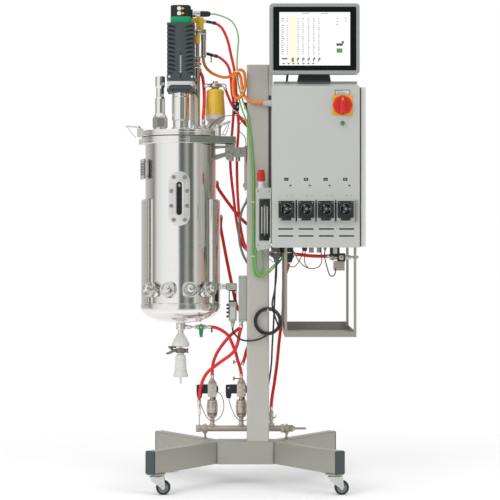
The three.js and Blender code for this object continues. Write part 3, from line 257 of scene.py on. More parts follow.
def mix_finishes():
    """Every finish of the machine, as a material of its own."""
    look = bpy.context.scene.bioreactor_finishes

    # Mirror polish: the sheet's slight waviness and fine wiping marks.
    r = recipe_for("polished_steel")
    wave = r.noise((5, 5, 2.2), 1.5)
    smear = r.noise((38, 38, 160), 3)
    r.surface(colour=r.between(smear, rgba(look.steel, 0.93), rgba(look.steel)), metal=1.0,
              rough=look.polish_roughness + smear * 0.05 - 0.02,
              normal=r.bump(wave, 0.35, 0.004))

    # Machined steel: turned fittings, clamps and small valves.
    r = recipe_for("turned_steel")
    ring = r.noise((120, 120, 900), 2)
    r.surface(colour=r.between(ring, rgba(look.steel, 0.74), rgba(look.steel, 0.92)), metal=1.0,
              rough=ring * 0.12 + 0.17, normal=r.bump(ring, 0.12, 0.0004))

    # Ground sheet and tube: long grinding lines, with the grain along one axis.
    for name, grain, tint in (("steel_along_z", (620, 620, 9), look.brushed),
                              ("steel_along_x", (9, 620, 620), srgb("b4b3a9")),
                              ("shelf_steel", (620, 9, 620), srgb("a9a59b"))):
        r = recipe_for(name)
        line = r.noise(grain, 4, 0.7)
        cloud = r.noise((7, 7, 5), 2)
        r.surface(colour=r.between(line * 0.6 + cloud * 0.4, rgba(tint, 0.86), rgba(tint, 1.06)),
                  metal=look.brush_metal, rough=look.brush_roughness + line * 0.16 - 0.08,
                  normal=r.bump(line, 0.22, 0.0003))

    # Blasted steel of the sight glass frame.
    r = recipe_for("blasted_steel")
    grit = r.noise((700, 700, 700), 3)
    cloud = r.noise((30, 30, 30), 2)
    r.surface(colour=r.between(grit * 0.5 + cloud * 0.5, rgba(look.steel, 0.78), rgba(look.steel, 0.98)), metal=0.7,
              rough=grit * 0.14 + 0.34, normal=r.bump(grit, 0.3, 0.0003))

    # Plated and dark brownish metals: two tints, grain per metre, metalness, spread and base of roughness, bump and
    # its depth.
    for name, low, high, grain, metal, spread, rough, bump, deep in (
            ("nickel_brass", "b3aa9c", "d9d1c4", 260, 0.75, 0.1, 0.28, 0.15, 0.0004),
            ("dark_brown_steel", "5d544d", "a49a90", 190, 0.85, 0.14, 0.24, 0.2, 0.0005),
            ("zinc_plate", "c2c6c2", "e3e6e1", 90, 0.9, 0.15, 0.28, 0.1, 0.0006)):
        r = recipe_for(name)
        grit = r.noise((grain,) * 3, 3)
        r.surface(colour=r.between(grit, rgba(srgb(low)), rgba(srgb(high))), metal=metal,
                  rough=grit * spread + rough, normal=r.bump(grit, bump, deep))

    # Satin sheet of the cabinet: a fine even grain, with faint clouds from wiping.
    # The side cover's sheet is a lighter copy of the cabinet's: painted light against the door's shadow on the
    # recessed cover.
    for name, tint in (("cabinet_sheet", look.cabinet), ("roof_sheet", look.roof), ("cover_sheet_painted_light", srgb("f0f1ee"))):
        r = recipe_for(name)
        fine = r.noise((900, 900, 60), 3, 0.7)
        cloud = r.noise((3, 3, 2.5), 2)
        r.surface(colour=r.between(cloud * 0.7 + fine * 0.3, rgba(tint, 0.93), rgba(tint, 1.05)), metal=0.35,
                  rough=fine * 0.12 + 0.38, normal=r.bump(fine, 0.12, 0.0002))

    # Plain mouldings and coats: colour, base roughness, grain per metre, bump, coat.
    for name, tint, rough, grain, bump, coat in (
            ("casting", look.casting, 0.46, 900, 0.35, 0.0), ("black_plastic", look.black, 0.42, 1300, 0.18, 0.0),
            ("black_gloss", look.black, 0.14, 60, 0.02, 0.5), ("grey_plastic", look.grey, 0.42, 1200, 0.15, 0.0),
            ("white_plastic", look.white, 0.34, 300, 0.06, 0.2), ("red_plastic", look.red, 0.30, 500, 0.06, 0.25),
            ("yellow_plastic", look.yellow, 0.34, 500, 0.08, 0.2),
            # A brighter copy of the yellow plastic: painted light against the shade behind the motor.
            ("valve_yellow", srgb("ffd23e"), 0.4, 500, 0.08, 0.1), ("green_plastic", look.green, 0.5, 800, 0.12, 0.0),
            ("tyre", look.rubber, 0.62, 700, 0.3, 0.0), ("seal", srgb("3a3b3b"), 0.7, 500, 0.2, 0.0),
            ("end_cap", srgb("4a5355"), 0.5, 1200, 0.2, 0.0), ("hub_grey", srgb("8f9494"), 0.5, 800, 0.15, 0.0),
            # This dark grey serves for dark parts, and as painted shade in slots, counterbores, holes and gaps.
            ("dark_grey_and_painted_shade", srgb("2b2f31"), 0.6, 400, 0.1, 0.0), ("label_grey", srgb("d9dad6"), 0.4, 300, 0.05, 0.1),
            ("collar_grey", srgb("dcdcd6"), 0.3, 600, 0.1, 0.2), ("mark_grey", srgb("6f7373"), 0.5, 500, 0.05, 0.0),
            ("box_grey", srgb("b4b6b0"), 0.42, 1200, 0.12, 0.0),
            ("paper_white", srgb("f3f3f0"), 0.5, 300, 0.03, 0.1), ("lamp_green", srgb("16895c"), 0.2, 200, 0.02, 0.6)):
        r = recipe_for(name)
        fine = r.noise((grain,) * 3, 3)
        cloud = r.noise((14, 14, 14), 2)
        r.surface(colour=r.between(cloud * 0.6 + fine * 0.4, rgba(tint, 0.86), rgba(tint, 1.1)),
                  rough=rough + fine * 0.1 - 0.05, coat=coat, coat_rough=0.12, normal=r.bump(fine, bump, 0.0003))

    # Hoses and cable jackets: smooth, with faint scuffs that dull them.
    for name, tint, rough in (("red_hose", look.hose, 0.30), ("orange_cable", look.sensor, 0.36),
                              ("earth_green", look.earth, 0.36), ("earth_yellow", srgb("a8cf62"), 0.36),
                              ("black_cable", look.rubber, 0.44), ("grey_cable", srgb("8b8f90"), 0.4),
                              ("brown_wire", srgb("6b3a32"), 0.4), ("white_tie", srgb("eceae4"), 0.4)):
        r = recipe_for(name)
        scuff = r.noise((55, 55, 55), 3)
        r.surface(colour=r.between(scuff, rgba(tint, 0.84), rgba(tint, 1.08)), rough=scuff * 0.2 + (rough - 0.1),
                  coat=0.25, coat_rough=0.2, normal=r.bump(scuff, 0.06, 0.0006))

    # The filter's tinted housing, with its pleated insert showing as soft upright bands.
    r = recipe_for("amber_housing")
    pleat = r.noise((210, 210, 3), 1)
    r.surface(colour=r.between(pleat, rgba(look.amber, 0.8), rgba(srgb("ffd94a"))), rough=0.16, coat=0.7,
              coat_rough=0.06, normal=r.bump(pleat, 0.05, 0.0008))

    # The dark glasses: sight glass, flow meter and screen.
    r = recipe_for("sight_window")
    film = r.noise((40, 40, 12), 2)
    r.surface(colour=r.between(film, rgba(srgb("020303")), rgba(srgb("0a0d0e"))), rough=film * 0.05 + 0.12, coat=0.3,
              coat_rough=0.08)

    r = recipe_for("meter_back")
    r.surface(colour=r.between(r.noise((60, 60, 20), 2), rgba(srgb("0e1213")), rgba(srgb("20272a"))), rough=0.3,
              coat=0.6, coat_rough=0.08)

    r = recipe_for("screen_glass")
    dust = r.noise((90, 90, 90), 2)
    r.surface(colour=rgba(srgb("07080a")), rough=dust * 0.05 + 0.08, coat=0.6, coat_rough=0.05)

    # The lit page and its plain marks.
    r = recipe_for("screen_page")
    glow = r.between(r.noise((5, 5, 5), 1), rgba(srgb("fbfaf8")), rgba(srgb("ffffff")))
    r.surface(colour=rgba(srgb("202020")), rough=0.35, glow=glow, glow_strength=1.0)

    for name, code in (("screen_ink", "6e7377"), ("screen_warm", "ffeeda"), ("screen_green", "4f9a57"),
                       ("screen_dark", "4a4f54")):
        r = recipe_for(name)
        glow = r.between(r.noise((300, 300, 300), 1), rgba(srgb(code), 0.92), rgba(srgb(code), 1.04))
        r.surface(colour=rgba(srgb(code), 0.3), rough=0.4, glow=glow, glow_strength=0.85)


# ------------------------------------------------------------------ forms


def at(x, y, z):
    """A point in the part's millimetres, as metres in the frame."""
    return Vector(((x + CENTRING) / 1000, y / 1000, z / 1000))


def moved(x=0.0, y=0.0, z=0.0):
    return Matrix.Translation((x, y, z))


def turned_by(angle, axis="Z"):
    return Matrix.Rotation(math.radians(angle), 4, axis)


def carried(place, points):
    """The points of a place's own axes, where these points really are."""
    return [place @ Vector(p) for p in points]


def smoothed(points, steps):
    """The points of a smooth curve through all the given ones (centripetal, as the solids are)."""
    p = [Vector(q) for q in points]
    p = [2 * p[0] - p[1]] + p + [2 * p[-1] - p[-2]]
    out = []
    for i in range(1, len(p) - 2):
        knots = [0.0]
        for a, b in zip(p[i - 1:i + 2], p[i:i + 3]):
            knots.append(knots[-1] + max((b - a).length ** 0.5, 1e-6))
        for s in range(steps):
            t = knots[1] + (knots[2] - knots[1]) * s / steps
            level = p[i - 1:i + 3]
            for order in (1, 2, 3):
                level = [level[j] * ((knots[j + order] - t) / (knots[j + order] - knots[j]))
                         + level[j + 1] * ((t - knots[j]) / (knots[j + order] - knots[j]))
                         if order < 3 else
                         level[j] * ((knots[2] - t) / (knots[2] - knots[1]))
                         + level[j + 1] * ((t - knots[1]) / (knots[2] - knots[1]))
                         for j in range(len(level) - 1)]
            out.append(level[0])
    out.append(p[-2])
    return out


def circle(radius, sides):
    return [(radius * math.cos(2 * math.pi * i / sides), radius * math.sin(2 * math.pi * i / sides))
            for i in range(sides)]


def rounded_box(width, height, radius, steps=5):
    """A rectangle with rounded corners, centred on the origin."""
    corners = ((1, 1, 0), (-1, 1, 90), (-1, -1, 180), (1, -1, 270))
    return [(sx * (width / 2 - radius) + radius * math.cos(math.radians(start + 90 * i / steps)),
             sy * (height / 2 - radius) + radius * math.sin(math.radians(start + 90 * i / steps)))
            for sx, sy, start in corners for i in range(steps + 1)]


def dish(radius, rim, depth, start, steps=14):
    """Points [radius, height] of an elliptical dish, from a start radius out to its rim."""
    first = math.acos(start / radius)
    return [(radius * math.cos(first * (1 - i / steps)), rim - depth * math.sin(first * (1 - i / steps)))
            for i in range(steps + 1)]


def held(profile):
    """The profile with extra points beside the ends of its long straights, so that these shade as straight."""
    near, points = 1.5, [profile[0]]
    for (r0, z0), (r1, z1) in zip(profile, profile[1:]):
        run = math.hypot(r1 - r0, z1 - z0)
        if run > 8 * near and r0 > 1 and r1 > 1:
            for t in (near / run, 1 - near / run):
                points.append((r0 + (r1 - r0) * t, z0 + (z1 - z0) * t))
        points.append((r1, z1))
    return points


class Form:
    """A mesh under construction. Each part of it takes one of the form's finishes by its number."""

    def __init__(self, *finishes):
        self.mesh = bmesh.new()
        self.finishes = finishes

    def _add(self, corners, faces, place, finish, smooth):
        made = [self.mesh.verts.new(place @ Vector(c)) for c in corners]
        flip = place.determinant() < 0
        for face in faces:
            loop = [made[i] for i in face]
            if len(set(loop)) < 3:
                continue
            new = self.mesh.faces.new(loop[::-1] if flip else loop)
            new.material_index, new.smooth = finish, smooth

    def lathe(self, profile, place=Matrix(), sides=48, finish=0, arc=360.0):
        """A profile of (radius, height) points turned about Z. It runs from the bottom up on the outside."""
        closed = arc >= 360
        count = sides if closed else sides + 1
        corners, rows = [], []
        for radius, height in held(profile):
            if radius < 1e-6:
                rows.append([len(corners)] * count)
                corners.append((0, 0, height))
            else:
                rows.append(list(range(len(corners), len(corners) + count)))
                corners += [(radius * math.cos(math.radians(arc) * i / sides),
                             radius * math.sin(math.radians(arc) * i / sides), height) for i in range(count)]
        faces = []
        for low, high in zip(rows, rows[1:]):
            for i in range(sides):
                j = (i + 1) % count
                face = [low[i], low[j], high[j], high[i]]
                faces.append([v for k, v in enumerate(face) if v != face[k - 1]])
        self._add(corners, [f for f in faces if len(f) > 2], place, finish, True)

    def ring(self, profile, place=Matrix(), sides=48, finish=0):
        """A closed profile turned about Z."""
        self.lathe(list(profile) + [profile[0]], place, sides, finish)

    def slab(self, outline, low, high, place=Matrix(), finish=0):
        """A flat outline given thickness from low to high along Z."""
        n = len(outline)
        corners = [(x, y, low) for x, y in outline] + [(x, y, high) for x, y in outline]
        faces = [list(range(n))[::-1], list(range(n, 2 * n))]
        faces += [[i, (i + 1) % n, n + (i + 1) % n, n + i] for i in range(n)]
        self._add(corners, faces, place, finish, False)

    def pin(self, radius, low, high, place=Matrix(), sides=24, finish=0):
        """A plain round bar along Z."""
        self.turned([(radius, low), (radius, high)], place, sides, finish)

    def turned(self, profile, place=Matrix(), sides=48, finish=0):
        """A solid of revolution about Z, closed on the axis at both ends of its profile."""
        self.lathe([(0.0, profile[0][1])] + list(profile) + [(0.0, profile[-1][1])], place, sides, finish)

    def nut(self, across, low, high, place=Matrix(), finish=0, chamfer=0.8):
        """A hexagon nut about Z, by its width across flats."""
        r = across / math.sqrt(3)
        self.turned([(r - chamfer, low), (r, low + chamfer), (r, high - chamfer), (r - chamfer, high)],
                    place, 6, finish)

    def block(self, x0, x1, y0, y1, z0, z1, place=Matrix(), finish=0):
        self.slab([(x0, y0), (x1, y0), (x1, y1), (x0, y1)], z0, z1, place, finish)

    def sheet(self, outlines, low, high, place=Matrix(), finish=0, ease=0.0):
        """A plate cut to outlines: the first is its edge, the others are holes. Its edges are eased."""
        curve = bpy.data.curves.new("outline", "CURVE")
        curve.dimensions, curve.fill_mode = "2D", "BOTH"
        curve.extrude, curve.bevel_depth, curve.offset = (high - low) / 2 - ease, ease, -ease
        curve.bevel_resolution = 1
        for outline in outlines:
            spline = curve.splines.new("POLY")
            spline.points.add(len(outline) - 1)
            for point, (x, y) in zip(spline.points, outline):
                point.co = (x, y, 0, 1)
            spline.use_cyclic_u = True
        holder = bpy.data.objects.new("outline", curve)
        cut = bpy.data.meshes.new_from_object(holder)
        self._add([v.co for v in cut.vertices], [list(p.vertices) for p in cut.polygons],
                  place @ moved(0, 0, (low + high) / 2), finish, False)
        bpy.data.objects.remove(holder)
        bpy.data.curves.remove(curve)
        bpy.data.meshes.remove(cut)

    def plate(self, width, height, radius, low, high, place=Matrix(), finish=0, ease=0.0):
        """A plate with rounded corners."""
        self.sheet([rounded_box(width, height, radius)], low, high, place, finish, ease)

    def tube(self, route, radius, sides=12, finish=0, stripes=None, twist=0.0):
        """A round section carried along a route. Radius is a number, or one for each point."""
        points = [Vector(p) for p in route]
        radii = radius if isinstance(radius, (list, tuple)) else [radius] * len(points)
        ahead = (points[1] - points[0]).normalized()
        side = ahead.orthogonal().normalized()
        rows, travelled = [], 0.0
        for i, point in enumerate(points):
            new = (points[min(i + 1, len(points) - 1)] - points[max(i - 1, 0)]).normalized()
            side = ahead.rotation_difference(new) @ side
            side = (side - new * side.dot(new)).normalized()
            ahead = new
            travelled += (point - points[i - 1]).length if i else 0.0
            up, turn = new.cross(side), twist * travelled
            rows.append([self.mesh.verts.new(point + (side * math.cos(a) + up * math.sin(a)) * radii[i])
                         for a in (2 * math.pi * k / sides + turn for k in range(sides))])
        for low, high in zip(rows, rows[1:]):
            for k in range(sides):
                face = self.mesh.faces.new((low[k], low[(k + 1) % sides], high[(k + 1) % sides], high[k]))
                face.smooth, face.material_index = True, (stripes[k % len(stripes)] if stripes else finish)
        for row in (rows[0][::-1], rows[-1]):
            self.mesh.faces.new(row).material_index = finish

    def ball(self, centre, radius, finish=0, rows=12, sides=24):
        arc = [(radius * math.cos(math.pi * (i / rows - 0.5)), radius * math.sin(math.pi * (i / rows - 0.5)))
               for i in range(rows + 1)]
        self.lathe([(max(r, 0.0), z) for r, z in arc], moved(*centre), sides, finish)

    def piece(self, name, *solids, body="machine", bevel=0.0, sharp=32.0, slot=None):
        """Makes the object, in place of those solids. Edges over the angle stay sharp, or a bevel eases them."""
        bm = self.mesh
        bmesh.ops.remove_doubles(bm, verts=bm.verts, dist=1e-4)
        bmesh.ops.recalc_face_normals(bm, faces=bm.faces)
        for edge in bm.edges:
            if len(edge.link_faces) == 2 and edge.calc_face_angle(0.0) > math.radians(sharp):
                edge.smooth = False
        bm.transform(Matrix.Translation((CENTRING / 1000, 0, 0)) @ Matrix.Scale(0.001, 4))
        mesh = bpy.data.meshes.new(name)
        bm.to_mesh(mesh)
        bm.free()
        for finish in self.finishes:
            mesh.materials.append(FINISHES[finish])
        obj = bpy.data.objects.new(name, mesh)
        bpy.context.scene.collection.objects.link(obj)
        if bevel:
            ease(obj, bevel)
        if solids:
            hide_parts(*solids)
        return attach(obj, body)


def ease(obj, width):
    """Eases an object's sharp edges by a width in millimetres."""
    for polygon in obj.data.polygons:
        polygon.use_smooth = True
    bevel = obj.modifiers.new("ease", "BEVEL")
    bevel.width, bevel.segments, bevel.limit_method = width / 1000, 2, "ANGLE"
    bevel.angle_limit, bevel.harden_normals, bevel.use_clamp_overlap = math.radians(30), True, True


def radius_of(diameter):
    """The radius in millimetres of a diameter in metres."""
    return diameter * 500


def declare_line(route):
    """Turns a route, which is in millimetres, into points in metres, and keeps nothing of them."""
    path = [tuple(at(*p)) for p in route]


# ------------------------------------------------------------------ hoses and cables

VALVE_HOSE_SHARE = 0.84  # how thick the hoses to the valve head are, against the others

# Routes of the red hoses, end to end.
HOSES = {
    "hose_valve_upper": [
        (-120.5, 68, 1665.5), (-110.7, 68, 1663.1), (-88, 66, 1648), (-72, 64, 1619), (-63, 62, 1594),
        (-51, 59, 1540), (-42, 56, 1500), (-36, 54, 1456), (-33, 52, 1402), (-31, 51, 1361), (-25, 51, 1292),
        (-31, 51, 1176), (-27, 51, 1019), (-16, 50, 910), (4, 50, 845), (36, 50, 825), (62, 50, 824),
        (83.7, 50, 824)],
    "hose_valve_lower": [
        (-114.5, 68, 1544.9), (-104.7, 68, 1542.9), (-88, 68, 1534), (-67, 68, 1513), (-56, 68, 1485),
        (-53, 68, 1456), (-49, 69, 1409), (-44, 70, 1383), (-43, 71, 1347), (-48, 72, 1274), (-56, 72, 1168),
        (-42, 72, 1019), (-30, 72, 928), (-12, 72, 858), (18, 72, 828), (54, 72, 824), (83.7, 72, 824)],
    "hose_trap": [
        (-15, 20, 571.5), (-15, 20, 560), (-28, 24, 550), (-52, 34, 530), (-85, 48, 491), (-107, 58, 455),
        (-119, 65, 418), (-121, 66.6, 384), (-121, 66.6, 372.3)],
    "hose_condensate": [
        (-15, 0, 571.5), (-15, 0, 560), (-21, 2, 538), (-27, 5, 505), (-37, 10, 478), (-56, 15, 457),
        (-85, 23, 436), (-114, 31, 414), (-137, 36, 394), (-153, 39, 368), (-165, 42, 325), (-168, 44, 292),
        (-168, 44, 280.3)],
    "hose_drain": [
        (-134.7, 0, 560), (-125, 0, 560), (-108, 1, 558), (-84, 6, 547), (-62, 13, 528), (-47, 23, 496),
        (-36, 33, 468), (-29, 44, 440), (-19, 62, 406), (-15, 66.6, 384), (-15, 66.6, 372.3)],
    "hose_supply": [
        (94, 66.6, 256.3), (94, 66.6, 268), (98, 73, 305), (105, 92, 345), (117, 148, 424), (124, 202, 484),
        (132, 230, 545), (140, 234, 605), (142, 234, 690), (148, 224, 738), (157, 196, 768), (160, 182, 785),
        (160, 182, 797.5)],
}
SENSOR_ROUTE = [
    (-153, 68, 1535.6), (-153, 68, 1526), (-144, 62, 1503), (-125, 48, 1482), (-103, 28, 1469), (-81, 4, 1460),
    (-62, -22, 1458), (-44, -46, 1466), (-30, -60, 1474), (-17.5, -63, 1479), (-6.4, -62, 1473), (-1.4, -60, 1450),
    (-0.6, -58, 1422), (-5.5, -55, 1400), (-17, -52, 1384), (-30, -50, 1379), (-40, -49, 1388), (-43.6, -49, 1415),
    (-43, -49, 1443), (-37.6, -49.5, 1460), (-26, -50, 1467.6), (-17.6, -49, 1457), (-13, -47, 1429),
    (-9.4, -47, 1404), (-1, -49, 1384), (16, -54, 1368.4), (38, -57, 1362), (63.7, -58, 1360)]
EARTH_ROUTE = [
    (-125.5, 0, 1687), (-116, 0, 1687), (-84, -1, 1679), (-52, -6, 1662), (-34, -12, 1636), (-25, -18, 1599),
    (-28, -24, 1547), (-30, -30, 1490), (-25, -30, 1435), (-13, -33, 1385), (-5, -41, 1358), (7, -46, 1326),
    (16, -46, 1266), (24, -46, 1194), (30, -46, 1100), (31, -46, 1016), (32, -46, 891), (31, -46, 820),
    (34, -46, 774), (43, -46, 748), (55, -47, 750), (61, -49, 776), (60, -52, 812), (55, -54, 838), (46, -56, 849),
    (38, -58, 837), (36, -58, 806), (39, -58, 772), (49, -58, 749), (62, -57, 747), (76, -56, 758), (92, -54, 774),
    (110, -50, 790), (127, -46, 803), (133, -45, 817), (133, -45, 827.5)]
PROBE_ROUTE = [
    (-46, 0, 559.6), (-46, 0, 552), (-43, -5, 541), (-34, -16, 531), (-21, -32, 520), (-7, -45, 515),
    (10, -51, 513.5), (34, -55, 516), (55, -56, 522), (69, -56, 529.4)]
PROBE_TAIL = [(96, -50, 640), (104, -55, 690), (110, -61, 740), (111, -62, 780), (111, -62, 794.5)]
PROBE_COIL = (80.0, -56.0, 583.9)  # its middle
COIL_TURNS, COIL_SAMPLES, COIL_START = 3.9, 30, -0.19  # turns, samples in each, and the share of a turn it starts at
COIL_RADIUS, COIL_PITCH, COIL_DEPTH = 41.0, 6.6, 3.6  # of the inner layer, from layer to layer, and to each side


def hose_ferrules(form, route, radius, reach=13.0):
    """The crimped sleeve at each end of a hose."""
    for tip, inner in ((route[0], route[1]), (route[-1], route[-2])):
        start, way = Vector(tip), (Vector(inner) - Vector(tip)).normalized()
        form.tube([start, start + way * 1.5, start + way * (reach - 1.5), start + way * reach],
                  [radius - 0.6, radius, radius, radius - 0.6], 20)


class BIOREACTOR_OT_hoses(bpy.types.Operator):
    """Runs the red steam and condensate hoses with their crimped sleeves"""
    bl_idname = "bioreactor.hoses"
    bl_label = "Hoses"

    def execute(self, context):
        sizes = context.scene.bioreactor_lines
        for name, points in HOSES.items():
            route = smoothed(points, sizes.steps)
            form = Form("red_hose")
            width = sizes.hose * (VALVE_HOSE_SHARE if "valve" in name else 1.0)
            form.tube(route, radius_of(width), sizes.sides)
            hose = form.piece(name + "_line", name, slot="red_hose")
            sleeves = Form("dark_grey_and_painted_shade" if "valve" in name else "turned_steel")
            hose_ferrules(sleeves, points, radius_of(width) + 1.2)
            sleeve = sleeves.piece(name + "_sleeves", bevel=0.3, slot="brushed_steel")
            declare_line(route)
        return {"FINISHED"}


class BIOREACTOR_OT_sensor_cable(bpy.types.Operator):
    """Runs the orange sensor cable through its tied hank to the cabinet"""
    bl_idname = "bioreactor.sensor_cable"
    bl_label = "Sensor cable"

    def execute(self, context):
        sizes = context.scene.bioreactor_lines
        wound = smoothed(SENSOR_ROUTE, sizes.steps)
        form = Form("orange_cable")
        form.tube(wound, radius_of(sizes.sensor), 16)
        cable = form.piece("sensor_cable_line", "sensor_cable", "sensor_cable_hank", "sensor_cable_tail",
                           slot="orange_cable")
        declare_line(wound)
        return {"FINISHED"}


class BIOREACTOR_OT_earth_lead(bpy.types.Operator):
    """Runs the green and yellow earth lead with its tied loop"""
    bl_idname = "bioreactor.earth_lead"
    bl_label = "Earth lead"

    def execute(self, context):
        sizes = context.scene.bioreactor_lines
        route = smoothed(EARTH_ROUTE, sizes.steps)
        form = Form("earth_green", "earth_yellow")
        form.tube(route, radius_of(sizes.earth), 14, stripes=[0] * 11 + [1] * 3, twist=0.012)
        lead = form.piece("earth_lead_line", "earth_lead", slot="green_cable")
        declare_line(route)
        return {"FINISHED"}


class BIOREACTOR_OT_probe_cable(bpy.types.Operator):
    """Runs the probe's black cable to the coil on its hook and on up to its gland"""
    bl_idname = "bioreactor.probe_cable"
    bl_label = "Probe cable"

    def execute(self, context):
        sizes = context.scene.bioreactor_lines
        x, y, z = PROBE_COIL
        coil = []
        for i in range(int(COIL_TURNS * COIL_SAMPLES) + 1):
            t = i / COIL_SAMPLES
            angle = 2 * math.pi * (COIL_START - t)
            # Two turns lie in the inner layer, and the rest go back over them in the outer one.
            outer = 1.0 if t > 2 else max(0.0, (t - 1.8) / 0.2)
            radius = COIL_RADIUS + COIL_PITCH * outer
            layer_turn = t if t <= 2 else t - 2
            depth = -COIL_DEPTH + 2 * COIL_DEPTH * (0.5 - 0.5 * math.cos(math.pi * layer_turn))
            coil.append((x + radius * math.cos(angle), y + depth, z + radius * math.sin(angle)))
        lead_in = smoothed(PROBE_ROUTE[:-1] + [coil[0]], sizes.steps)[:-1]
        tail = smoothed([coil[-1]] + PROBE_TAIL, sizes.steps)[1:]
        route = lead_in + coil + tail
        form = Form("black_cable")
        form.tube(route, radius_of(sizes.probe), 12)
        cable = form.piece("probe_cable_line", "probe_cable", "probe_cable_coil", slot="black_cable")
        declare_line(route)
        return {"FINISHED"}


# ------------------------------------------------------------------ vessel

UNIT = moved(VESSEL_X)
PORT_TILT = 20.0  # how far the side ports point upwards, in degrees
JACKET_EDGE = 56.0  # where the jacket's upright edges are, in degrees to each side of the front


def outward(azimuth, tilt, radius, z):
    """The place of a fitting that points out of the vessel: degrees from the front, and upwards."""
    return UNIT @ turned_by(azimuth) @ moved(0, -radius, z) @ turned_by(90 - tilt, "X")


class BIOREACTOR_OT_vessel(bpy.types.Operator):
    """Turns the polished shell with its neck flange, arm lug, ports, nozzles and rating plate"""
    bl_idname = "bioreactor.vessel"
    bl_label = "Vessel"

    def execute(self, context):
        form = Form("polished_steel", "turned_steel", "label_grey", "mark_grey", "dark_grey_and_painted_shade")
        outer = [(12, 573.7)] + dish(127, 650, 60, 12, 18) + [(127, 1216), (127.3, 1216.4)]
        outer += [(139.6, 1216.5), (141, 1217.9), (141, 1226.6), (140.4, 1227.2), (140.4, 1228.6), (141, 1229.2),
                  (141, 1239.2), (139.6, 1240.6)]
        inner = [(124, 1240.6), (122.8, 1239.4)] + dish(122.8, 650, 56, 9, 18)[::-1] + [(9, 573.7)]
        form.ring(outer + inner, UNIT, 144)
        lug = [(92, -104), (120, -76), (150, -44), (168, -30), (187, -26), (193, -24.4), (197.4, -20), (199, -14)]
        lug += [(x, -y) for x, y in lug[::-1]]
        form.slab(lug, 1216.7, 1240.4, UNIT)
        form.slab([(36, -137.2), (37, -139.2), (198, -94.6), (199, -93), (199, -12), (189, -12), (189, -86),
                   (70, -118)], 1216.7, 1240.2, UNIT)
        for angle in (180, -24):
            form.block(135, 150, -9, 9, 1216.5, 1236, UNIT @ turned_by(angle), 1)
        for y in (-15, 15):
            form.nut(13, 1240.4, 1246.5, UNIT @ moved(184, y), 1)
        for azimuth in (-45, -15, 15, 45):
            self.side_port(form, outward(azimuth, PORT_TILT, 138.3, 694))
        self.probe_port(form, outward(90, 0, 136, 706))
        for azimuth, z in ((128, 1086), (142, 1060)):
            place = outward(azimuth, 0, 129, z)
            form.turned([(8, -8), (8, 5.2), (11, 6), (11, 14), (10.2, 14.8), (6, 15), (6, 22)], place, 32, 1)
        self.rating_plate(form)
        form.piece("vessel_shell", "vessel", bevel=0.35, sharp=40, slot="polished_steel")
        return {"FINISHED"}

    def side_port(self, form, place):
        form.lathe([(21, -16.5), (18.4, -12), (17, -9), (16.4, -5), (16.2, 8)], place, 48, 0)
        form.turned([(16, 6.5), (26, 7), (27.4, 8.2), (27.4, 13.2), (26.8, 13.7), (26.8, 14.7), (27.4, 15.2),
                     (27.4, 20.2), (26, 22), (22.6, 22.4), (20.8, 20.8), (15, 20.6), (15, 31.5), (13.2, 34.4),
                     (10.6, 36.6), (7.2, 38)], place, 48, 1)
        form.turned([(4.1, 37.5), (4.6, 38), (4.6, 40.2), (3.8, 40.8)], place, 6, 1)

    def probe_port(self, form, place):
        form.turned([(13, -14), (11, -4), (9.6, 4), (9.6, 7)], place, 32, 0)
        form.nut(22.5, 6, 15.6, place, 1)
        form.turned([(6.6, 15), (6.6, 20.5), (8.4, 21.2), (8.4, 26), (7.6, 26.6)], place, 24, 1)

    def rating_plate(self, form):
        """A stood-off plate with four rows of plain marks and no writing."""
        place = outward(-74, 0, 129, 1126.5)
        for y in (-26.5, 26.5):
            form.pin(3, -4, 9.2, place @ moved(0, y), 16, 1)
            form.turned([(4.4, 10.4), (4.4, 12), (3.6, 12.8)], place @ moved(0, y), 16, 1)
        form.plate(80, 73, 3, 9, 10.6, place, 1, 0.3)
        form.block(-36, 36, -22, 22, 10.5, 10.9, place, 3)
        # A dark strip at its right edge is painted shade between the plate and the shell.
        form.block(36, 39.6, -34, 34, 8.4, 12, place, 4)
        for row in range(4):
            form.block(-32, -8, 11.5 - 9 * row, 13.5 - 9 * row, 10.8, 11.1, place, 2)
            form.block(0, 30 - 5 * (row % 2), 11.5 - 9 * row, 13.5 - 9 * row, 10.8, 11.1, place, 2)


